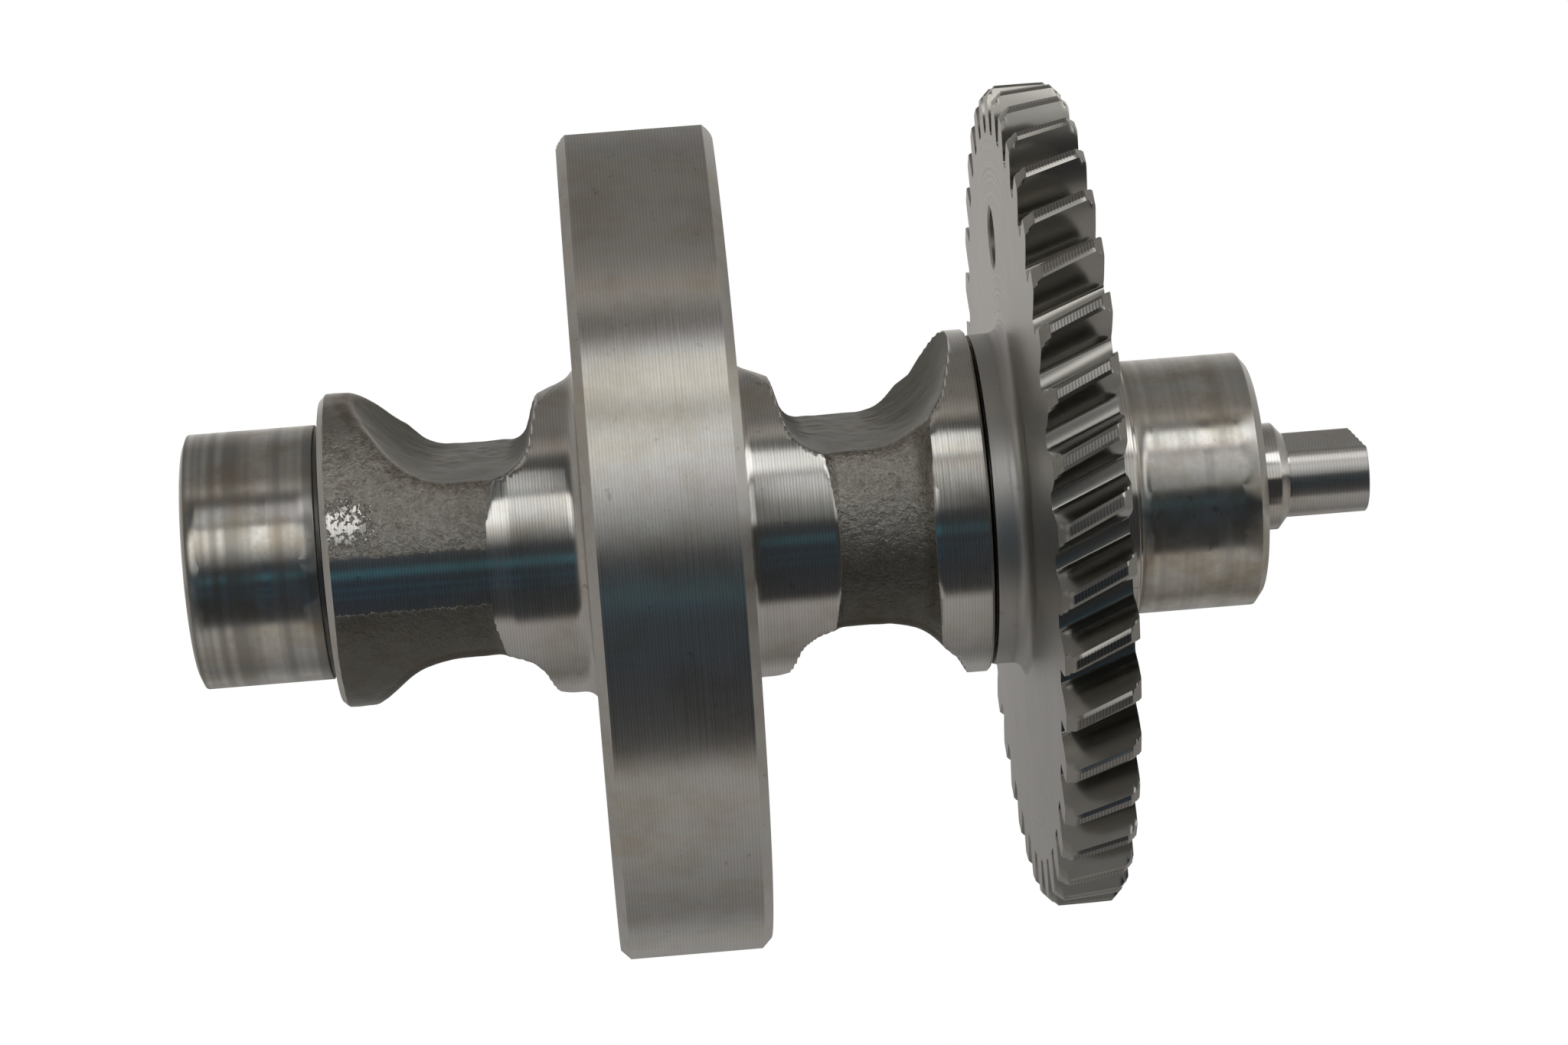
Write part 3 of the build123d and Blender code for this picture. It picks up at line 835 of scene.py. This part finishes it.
# %% [markdown]
# ## One method for every node
#
# A node's settings decide which of its sockets are in use, so they are set before its inputs. An input is
# either linked to a wire or given a plain value.


# %% Nodes
class Finish:
    """A material or world tree. Its node method is the only place where nodes are made."""

    def __init__(self, owner):
        owner.use_nodes = True
        self.tree = owner.node_tree
        self.tree.nodes.clear()

    def node(self, kind, settings=None, out=0, **inputs):
        """Adds a node, sets its settings first, then its inputs: i0, i1... by place, others by name. Gives
        back the output of that name or place."""
        made = self.tree.nodes.new(kind)
        for key, value in (settings or {}).items():
            if key == "stops":
                ramp = made.color_ramp
                while len(ramp.elements) < len(value):
                    ramp.elements.new(0.5)
                for element, (place, colour) in zip(ramp.elements, value):
                    element.position, element.color = place, (*colour, 1.0)
            else:
                setattr(made, key, value)
        for key, value in inputs.items():
            place = int(key[1:]) if key[0] == "i" and key[1:].isdigit() else key.replace("_", " ")
            target = made.inputs[place]
            if isinstance(value, Wire):
                self.tree.links.new(value.socket, target)
            else:
                target.default_value = value
        return Wire(self, made.outputs[out]) if made.outputs else made

    def mix(self, share, first, second):
        """Colour between first and second, which are wires or red, green, blue. A Mix node has its factor at
        place 0, its two colours at 6 and 7, and its colour result at 2."""
        first, second = (paint if isinstance(paint, Wire) else (*paint, 1.0) for paint in (first, second))
        return self.node("ShaderNodeMix", {"data_type": "RGBA"}, out=2, i0=share, i6=first, i7=second)


# %% [markdown]
# ## Places on the metal
#
# Most patterns of this part follow the lathe, so they are read from the height, from the distance to the
# axis and from the angle round it. These come from Object coordinates, which stay with the piece when it
# moves.


# %% Height, radius and angle
class Place:
    """Where a point of the metal is, in millimetres: height, distance from the axis and angle round it."""

    def __init__(self, finish):
        self.finish = finish
        spot = finish.node("ShaderNodeTexCoord", out="Object")
        self.spot = finish.node("ShaderNodeVectorMath", {"operation": "SCALE"}, Vector=spot, Scale=1 / MM)
        parts = finish.node("ShaderNodeSeparateXYZ", Vector=self.spot).socket.node.outputs
        self.x, self.y, self.z = (Wire(finish, part) for part in parts)
        self.r = (self.x * self.x + self.y * self.y).math("SQRT")
        self.angle = self.x.math("ARCTAN2", self.y * -1.0) * (180 / math.pi)
        self.along = self.z + self.r

    def noise(self, scale, detail=2.0, roughness=0.5, stretch=(1, 1, 1), shift=0.0):
        """Noise from 0 to 1. The scale is in features per millimetre; stretch makes them finer along an
        axis, and shift gives another part of the same noise."""
        placed = self.finish.node(
            "ShaderNodeMapping", Vector=self.spot, Scale=stretch, Location=(shift, shift * 0.7, shift * 1.3)
        )
        return self.finish.node(
            "ShaderNodeTexNoise", Vector=placed, Scale=scale, Detail=detail, Roughness=roughness
        )

    def rings(self, scale, detail=1.0, shift=0.0):
        """Noise that changes only along the profile, as a lathe tool leaves it."""
        return self.finish.node(
            "ShaderNodeTexNoise", {"noise_dimensions": "1D"}, W=self.along + shift, Scale=scale, Detail=detail
        )

    def grooves(self, pitch):
        """A wave from 0 to 1 that repeats at this pitch along the profile: half of one plus the sine."""
        return (self.along * (2 * math.pi / pitch)).math("SINE") * 0.5 + 0.5


# %% [markdown]
# ## Where the shaft is turned
#
# One material covers the whole shaft, because the boundary between turned metal and forged skin isn't an
# edge in the mesh: it is wherever the lathe's tool ran out of metal. The stock that was kept with the mesh
# says where that is, and a little noise makes the line as ragged as it is on the real part. The journals
# are ground after turning, so they are finer, with the bands that a bearing wears into them.

# %% Masks and marks of the lathe
FEED = 0.36
steel = bpy.data.materials.new("forged_steel")
tree = Finish(steel)
at = Place(tree)
stock = tree.node("ShaderNodeAttribute", {"attribute_name": "stock"}, out="Fac")

patchy = at.noise(0.9, 3.0, 0.6) - 0.5
fine = at.noise(2.1, 3.0, 0.6) - 0.5
turned = (stock + patchy * 0.06 + fine * 0.16).above(0.0, 0.015)
ground = at.z.between(-1, 15.45, 0.1) + at.z.between(110.3, 125.3, 0.1)
rim = at.r.above(40.0, 1.0)

feed = at.grooves(FEED)
tool_marks = at.rings(3.0, 2.0)
broad_marks = at.rings(0.35, 2.0, 40.0)
smear = at.noise(0.5, 3.0, 0.6, (0.25, 0.25, 2.2))
print("nodes for the lathe's marks:", len(steel.node_tree.nodes))

# %% [markdown]
# ## Colour of the turned metal
#
# Clean steel is a warm grey. Faint straw and violet streaks along the axis, and a honey band at one angle on
# the rim, are painted sheen: the rainbow that light draws from fine lathe lines. The feed lines are darker
# than the crests between them, a bearing has worn dark bands into each journal, and rust and specks have
# begun in places.

# %% Turned metal
CLEAN, CLOUDED = (0.705, 0.705, 0.675), (0.645, 0.645, 0.615)
STRAW, VIOLET, HONEY = (0.70, 0.60, 0.48), (0.66, 0.56, 0.56), (0.78, 0.68, 0.48)
GROOVE, WORN = (0.30, 0.30, 0.30), (0.22, 0.22, 0.21)
RUST, SPECK = (0.36, 0.29, 0.19), (0.18, 0.16, 0.14)

rust = at.noise(0.13, 5.0, 0.68, shift=31.0).above(0.56, 0.22)
# Painted sheen: straw and violet streaks along the axis stand for the rainbow of the lathe lines.
sheen_streaks = at.noise(0.22, 3.0, 0.6, (1.0, 1.0, 0.12), shift=47.0)
speck = at.noise(0.55, 3.0, 0.6, shift=12.0).above(0.70, 0.05)
worn_bands = broad_marks.above(0.50, 0.14) * ground
# Painted sheen: a honey band at one angle round the rim.
rim_sheen_band = rim * at.angle.between(-33, -26, 6)

turned_colour = tree.mix(smear, CLEAN, CLOUDED)
for share, paint in (
    (sheen_streaks.above(0.56, 0.14) * 0.35, STRAW),
    ((1.0 - sheen_streaks).above(0.56, 0.14) * 0.25, VIOLET),
    (feed * (1.0 - ground) * 0.30, GROOVE),
    (rim_sheen_band * 0.22, HONEY),
    (worn_bands * part_way(at.z.above(60, 5), 0.62, 0.22), WORN),
    (rust * (0.32 + ground * 0.3), RUST),
    (speck * 0.35, SPECK),
):
    turned_colour = tree.mix(share, turned_colour, paint)
print("nodes with the turned metal's colour:", len(steel.node_tree.nodes))

# %% [markdown]
# ## Colour of the forged skin
#
# Forging leaves a skin of scale, whose tone and brown stains change at random. Its heavy front is painted
# lighter than the flanks and the light side, as painted light where its grain catches the light, and one
# half of the necks round the axis is painted darker, as painted shade. The brown band along the creases is
# painted shade, and bright grain on the other half is painted glints. The "pressed" values of the mesh tell
# front from flank.

# %% Forged skin
FRONT_DARK, FRONT_PALE = (0.27, 0.252, 0.22), (0.39, 0.372, 0.336)
FLANK_DARK, FLANK_PALE = (0.215, 0.212, 0.183), (0.275, 0.270, 0.238)
OIL_AND_SHADE, SKIN_SHADE, GLINT_GREY = (0.175, 0.132, 0.090), (0.085, 0.088, 0.075), (0.66, 0.64, 0.60)

pressed = tree.node("ShaderNodeAttribute", {"attribute_name": "pressed"}, out="Fac")
crease_shade = pressed.between(-2.2, 0.3, 0.7)
flank = pressed.above(0.5, 0.8)
lumps = at.noise(1.35, 4.0, 0.66, shift=5.0)
grain = at.noise(3.4, 3.0, 0.68, shift=9.0)
scale_tone = at.noise(0.13, 3.0, 0.55, shift=77.0)
# Random brown stains, plus painted shade in a band along the creases, in the same brown.
stains_and_crease_shade = at.noise(0.32, 3.0, 0.6, shift=3.0).above(0.56, 0.2) * 0.35 + crease_shade * 0.5
coarse = at.angle.between(-66, 60, 14) * (1.0 - flank)
# Painted glints: bright specks of grain on the front, kept further down to one half round the axis.
grain_glints = (lumps * 0.7 + grain * 0.5).above(0.64, 0.34) * coarse

# Painted light and shade: the front's colours are lighter than the flanks'.
front_colour = tree.mix(scale_tone, FRONT_DARK, FRONT_PALE)
flank_colour = tree.mix(scale_tone, FLANK_DARK, FLANK_PALE)
skin_colour = tree.mix(flank, front_colour, flank_colour)
for share, paint in (
    (stains_and_crease_shade, OIL_AND_SHADE),
    # Painted shade: one half of the skin round the axis is darker.
    (at.angle.above(4.0, 16.0) * 0.45, SKIN_SHADE),
    # Painted glints on the grain of the other half.
    (grain_glints * (1.0 - at.angle.above(0.0, 12.0)) * 0.7, GLINT_GREY),
):
    skin_colour = tree.mix(share, skin_colour, paint)
print("nodes with the forged skin's colour:", len(steel.node_tree.nodes))

# %% [markdown]
# ## Roughness, relief and the finished metal
#
# The first relief groove and the gap at the second flange are painted near black, as painted shade, and
# made rough. Turned steel stretches its highlights across the feed lines, which the Anisotropic value does
# for the whole shaft. The forged skin is rougher and has a real relief.

# %% Forged and turned steel
# Painted shade: the first relief groove and the gap at the second flange are painted near black.
RECESS_SHADE = (0.020, 0.022, 0.016)
shaded_recess = at.z.between(15.92, 16.24, 0.05) + at.z.between(15.5, 15.92, 0.1) * 0.5
shaded_recess = (shaded_recess + at.z.between(92.3, 92.72, 0.05)).settle()
colour = tree.mix(turned, skin_colour, turned_colour)
colour = tree.mix(shaded_recess, colour, RECESS_SHADE)

turned_rough = 0.20 + (tool_marks - 0.5) * 0.08 + (smear - 0.5) * 0.04 + rim * 0.08
ground_rough = 0.20 + broad_marks.above(0.50, 0.30) * 0.12
milled = at.z.above(129.3, 0.1)
rough = part_way(milled, part_way(ground, turned_rough, ground_rough), 0.34)
rough = part_way(turned, 0.36 + flank * 0.16, rough)
rough = part_way(shaded_recess, rough, 0.7)

relief = feed * 0.0016 * (1.0 - ground) + tool_marks * 0.004 * (1.0 - ground * 0.8)
skin_relief = (lumps * 0.24 + grain * 0.09) * (coarse * 0.85 + 0.15)
height = part_way(turned, skin_relief, relief)


def metal(colour, rough, height, **constants):
    """Closes the current tree: a metal with this colour and roughness, and a bump of this height in
    millimetres."""
    bump = tree.node("ShaderNodeBump", Strength=1.0, Distance=MM, Height=height)
    surface = tree.node(
        "ShaderNodeBsdfPrincipled",
        Base_Color=colour,
        Roughness=rough,
        Metallic=1.0,
        Normal=bump,
        **constants,
    )
    tree.node("ShaderNodeOutputMaterial", Surface=surface)


metal(colour, rough, height, Anisotropic=0.9, Anisotropic_Rotation=0.25)
shaft.data.materials.append(steel)
print("nodes of the shaft's metal:", len(steel.node_tree.nodes))

# %% [markdown]
# ## The gear's sides
#
# The gear's sides are turned and left matte, so they show soft rings, clouds and a few brown spots.

# %% Gear side steel
side_steel = bpy.data.materials.new("gear_side_steel")
tree = Finish(side_steel)
at = Place(tree)
lathe = at.rings(2.4, 2.0)
spots = at.noise(0.5, 3.0, 0.6, shift=20.0).above(0.68, 0.08)
side_colour = tree.mix(at.noise(0.12, 3.0, 0.55), (0.47, 0.46, 0.44), (0.56, 0.55, 0.525))
side_colour = tree.mix(spots * 0.25, side_colour, (0.26, 0.22, 0.18))
metal(side_colour, 0.42 + (lathe - 0.5) * 0.12, lathe * 0.006 + at.noise(4.0) * 0.004)
gear.data.materials.append(side_steel)
print("nodes of the gear's sides:", len(side_steel.node_tree.nodes))

# %% [markdown]
# ## The gear's teeth, shaved and worn
#
# The tips of the teeth are what is left of the turned blank, with the lathe's comb of fine lines. The
# flanks are shaved and polished by running against their partner, so they are smoother and darker than
# the sides.

# %% Gear tooth steel
tooth_steel = bpy.data.materials.new("gear_tooth_steel")
tree = Finish(tooth_steel)
at = Place(tree)
tip = at.r.above(TIP_R - 0.08, 0.04)
comb = at.grooves(FEED)
tooth_colour = tree.mix(at.noise(0.35, 2.0, 0.5, (1, 1, 0.4)), (0.34, 0.33, 0.305), (0.44, 0.43, 0.40))
tip_colour = tree.mix(comb * 0.7, (0.40, 0.39, 0.365), (0.13, 0.125, 0.115))
metal(tree.mix(tip, tooth_colour, tip_colour), part_way(tip, 0.24, 0.30), comb * tip * 0.006)
gear.data.materials.append(tooth_steel)
print("nodes of the gear's teeth:", len(tooth_steel.node_tree.nodes))

# %% [markdown]
# ## Which faces are teeth
#
# A face belongs to the teeth if its middle lies outside their roots and it doesn't look along the axis,
# as the two sides do.

# %% Material of each face
TEETH_FROM = (ROOT_R - 0.2) * MM
FLAT_ON = 0.9
count = len(gear_mesh.polygons)
middles, normals = np.empty(count * 3, np.float32), np.empty(count * 3, np.float32)
gear_mesh.polygons.foreach_get("center", middles)
gear_mesh.polygons.foreach_get("normal", normals)
middles, normals = middles.reshape(-1, 3), normals.reshape(-1, 3)
is_tooth = (np.hypot(middles[:, 0], middles[:, 1]) > TEETH_FROM) & (np.abs(normals[:, 2]) < FLAT_ON)
gear_mesh.polygons.foreach_set("material_index", is_tooth.astype(np.int32))
print("tooth faces:", int(is_tooth.sum()), "of", count)

# %% [markdown]
# ## The room that the metal mirrors
#
# Turned steel has no colour of its own: it shows the room. The photograph's room was a white softbox above
# the lens, dark below it, and grey beyond. The world repeats that as bands round the shaft's axis, so each
# cylinder shows the same bright and dark stripes. "turn" is the angle round the axis, from the camera's
# side upwards, and "slant" says how far a direction leans along the axis to the right: the curved hollows
# of the shaft see the room slantwise, so their stripes begin and end elsewhere.

# %% Directions in the room
CAMERA_SIDE = math.radians(13.3)
TOWARDS = (-math.sin(CAMERA_SIDE), -math.cos(CAMERA_SIDE), 0.0)
UPWARDS = (-math.cos(CAMERA_SIDE), math.sin(CAMERA_SIDE), 0.0)
world = bpy.context.scene.world or bpy.data.worlds.new("studio")
bpy.context.scene.world = world
tree = Finish(world)
# In a world, the first output of Texture Coordinate is the direction of the ray.
direction = tree.node("ShaderNodeTexCoord")


def leaning(axis):
    """How far the direction leans along an axis, from -1 to 1: their dot product."""
    return tree.node("ShaderNodeVectorMath", {"operation": "DOT_PRODUCT"}, out="Value", i0=direction, i1=axis)


turn = leaning(UPWARDS).math("ARCTAN2", leaning(TOWARDS)) * (180 / math.pi)
slant = Wire(tree, tree.node("ShaderNodeSeparateXYZ", Vector=direction).socket.node.outputs["Z"])
print("towards the camera:", [round(part, 4) for part in TOWARDS])


# %% [markdown]
# ## Walls of the room
#
# A colour ramp is a plain way to paint a room round an axis: each stop is an angle and a grey. The room is
# nearly black below the lens and palest behind the object. Its two ends, seen along the axis, are an even
# grey, and directions that lean to the right meet a darker band below the lens.

# %% Grey walls
def grey(level, warmth=0.0):
    """A grey of this level, with a little more red and less blue for warmth."""
    return (level * (1 + warmth), level, level * (1 - warmth))


def around(angle, stops):
    """A colour ramp over the whole turn round the axis, with its stops in degrees."""
    places = [((degrees + 180) / 360, colour) for degrees, colour in stops]
    return tree.node("ShaderNodeValToRGB", {"stops": places}, Fac=angle / 360.0 + 0.5)


room = around(
    turn + slant * 10.0,
    [
        (-180, grey(0.50, 0.02)),
        (-174, grey(0.26, 0.04)),
        (-143, grey(0.34, 0.02)),
        (-122, grey(0.20, 0.03)),
        (-95, grey(0.31, 0.03)),
        (-67, grey(0.38, 0.05)),
        (-61, grey(0.04)),
        (-30, (0.020, 0.034, 0.055)),
        (-8, (0.045, 0.056, 0.068)),
        (49, grey(0.08)),
        (55, grey(0.12, 0.03)),
        (62, grey(0.40, 0.07)),
        (74, grey(0.21, 0.05)),
        (120, grey(0.19, 0.03)),
        (150, grey(0.42, 0.03)),
        (168, grey(0.62, 0.03)),
        (175, grey(0.85, 0.03)),
        (180, grey(0.50, 0.02)),
    ],
)
endways = (slant * slant).above(0.32, 0.36)
room = tree.mix(endways, room, grey(0.34, 0.04))
rightwards = slant.above(0.06, 0.08) * turn.between(-56.0, 12.0, 6.0)
room = tree.mix(rightwards, room, grey(0.042))

# %% [markdown]
# ## The softbox in the mirror
#
# The one white lamp fills the angles from its lower to its upper edge. Both edges rise towards the right,
# and the lower edge is softer on the left. For directions that lean far to the right, a grey card reaches
# lower than the lamp. Three thin blue lines below the lamp show only in directions that lean a little to
# the left, as they do on the shaft in the photograph.

# %% Softbox, card and blue lines
LAMP_WHITE, LINE_BLUE = (1.0, 0.995, 0.98), (0.15, 0.75, 0.95)
rightness = ((slant + 0.10) / 0.12).clamp()
lamp_top = ((slant + 0.02) / 0.06).clamp() * 17.0 + slant.math("MAXIMUM", 0.0) * 20.0 + 28.0
lamp_low = rightness * 19.0 + 3.0 + slant.above(0.02, 0.05) * 9.0
lamp_fade = 20.0 - rightness * 12.0
lamp = (1.0 - turn.above(lamp_top, 3.0)) * turn.above(lamp_low, lamp_fade)
card = turn.between(-5.0, 26.0, 4.0) * slant.above(0.22, 0.12) * 0.5
lamp = lamp.math("MAXIMUM", card) * (1.0 - (slant * -1.0).above(0.42, 0.1))
bands = tree.mix(lamp, room, LAMP_WHITE)
leftwards = slant.between(-0.30, 0.02, 0.07)
for line, width, soft, strength in ((-18, 1.8, 6.0, 0.26), (-29, 0.7, 0.8, 0.10), (-35, 0.7, 0.8, 0.08)):
    glow = turn.between(line - width, line + width, soft) * leftwards * strength
    bands = tree.mix(glow, bands, LINE_BLUE)

# %% [markdown]
# ## White to the camera, bands to the metal
#
# The camera sees plain white behind the object. Light Path tells a ray that comes from the camera from one
# that the metal mirrors, and rays of any other kind get the bands at less strength.

# %% World
to_camera = tree.node("ShaderNodeLightPath", out="Is Camera Ray")
mirrored = tree.node("ShaderNodeLightPath", out="Is Glossy Ray")
level = part_way(mirrored, 0.4, 1.0) * (lamp * 0.75 + 1.0)
felt = tree.node("ShaderNodeBackground", Color=bands, Strength=level)
seen = tree.node("ShaderNodeBackground", Color=(1, 1, 1, 1), Strength=1.0)
shown = tree.node("ShaderNodeMixShader", i0=to_camera, i1=felt, i2=seen)
tree.node("ShaderNodeOutputWorld", Surface=shown)
print("nodes of the world:", len(world.node_tree.nodes))

# %% [markdown]
# ## The floor
#
# The object stands on white paper, which keeps its shadow. To the camera the paper mostly glows, so that it
# melts into the white background, and in the metal it isn't there at all, so that the bands stay clean.

# %% Floor
FLOOR_HALF = 3.0
side = np.array([[-1, -1], [1, -1], [1, 1], [-1, 1]]) * FLOOR_HALF
floor_mesh = bpy.data.meshes.new("studio_floor")
floor_mesh.from_pydata([(x, y, 0.0) for x, y in side], [], [(0, 1, 2, 3)])
floor = bpy.data.objects.new("studio_floor", floor_mesh)
bpy.context.collection.objects.link(floor)
paper = bpy.data.materials.new("white_paper")
tree = Finish(paper)
to_camera = tree.node("ShaderNodeLightPath", out="Is Camera Ray")
mirrored = tree.node("ShaderNodeLightPath", out="Is Glossy Ray")
plain = tree.node("ShaderNodeBsdfDiffuse", Color=(0.85, 0.85, 0.85, 1))
white = tree.node("ShaderNodeEmission", Color=(1, 1, 1, 1), Strength=1.16)
clear = tree.node("ShaderNodeBsdfTransparent")
shown = tree.node("ShaderNodeMixShader", i0=to_camera * 0.85, i1=plain, i2=white)
shown = tree.node("ShaderNodeMixShader", i0=mirrored, i1=shown, i2=clear)
tree.node("ShaderNodeOutputMaterial", Surface=shown)
floor_mesh.materials.append(paper)
print("floor:", 2 * FLOOR_HALF, "m across")

# %% [markdown]
# ## Two soft lamps
#
# The mirrored room lights all of the metal. The two lamps only light the paper, where the object gets its
# shadow from them, so they are kept out of reflections.

# %% Lamps
AIM = Vector((0, 0, 0.07))


def softbox(name, angle, distance, width, height, strength, z):
    """A rectangular lamp at an angle round the axis from the camera's side, facing the shaft. Its place is
    distance times (cosine of the angle towards the camera plus sine upwards), at height z."""
    turned_by = math.radians(angle)
    out = Vector(TOWARDS) * math.cos(turned_by) + Vector(UPWARDS) * math.sin(turned_by)
    place = out * distance + Vector((0, 0, z))
    lamp = bpy.data.lights.new(name, "AREA")
    lamp.shape, lamp.size, lamp.size_y = "RECTANGLE", width, height
    lamp.energy = strength
    holder = bpy.data.objects.new(name, lamp)
    holder.location = place
    holder.rotation_mode = "QUATERNION"
    holder.rotation_quaternion = (AIM - place).to_track_quat("-Z", "Y")
    holder.visible_glossy = False
    bpy.context.collection.objects.link(holder)
    return holder


key = softbox("key_softbox", angle=40, distance=1.2, width=0.8, height=0.8, strength=9.0, z=0.55)
fill = softbox("fill_softbox", angle=170, distance=1.4, width=0.9, height=0.9, strength=5.0, z=0.5)
print("lamps at", key.location, fill.location)

# %% [markdown]
# ## The camera
#
# The camera has the photograph's angle. It stands half a metre from the shaft with a long lens, a little
# nearer to the lower end. The shaft lies across the picture, so the camera is rolled by nearly a right
# angle. Its turn is built from three plain angles: azimuth, elevation and roll.

# %% Camera
CAMERA_AT = (-0.11015, -0.46620, 0.04993)
AZIMUTH, ELEVATION, ROLL = (math.radians(angle) for angle in (13.397, 2.343, 85.407))
camera = bpy.data.cameras.new("camera")
camera.lens, camera.sensor_width = 93.08, 36.0
camera.clip_start, camera.clip_end = 0.01, 20.0
holder = bpy.data.objects.new("camera", camera)
looking = Matrix.Rotation(-AZIMUTH, 4, "Z") @ Matrix.Rotation(math.pi / 2 + ELEVATION, 4, "X")
holder.matrix_world = Matrix.Translation(CAMERA_AT) @ looking @ Matrix.Rotation(ROLL, 4, "Z")
bpy.context.collection.objects.link(holder)
bpy.context.scene.camera = holder
bpy.context.scene.view_settings.view_transform = "Standard"
print("camera looks along", holder.matrix_world.col[2].xyz * -1)
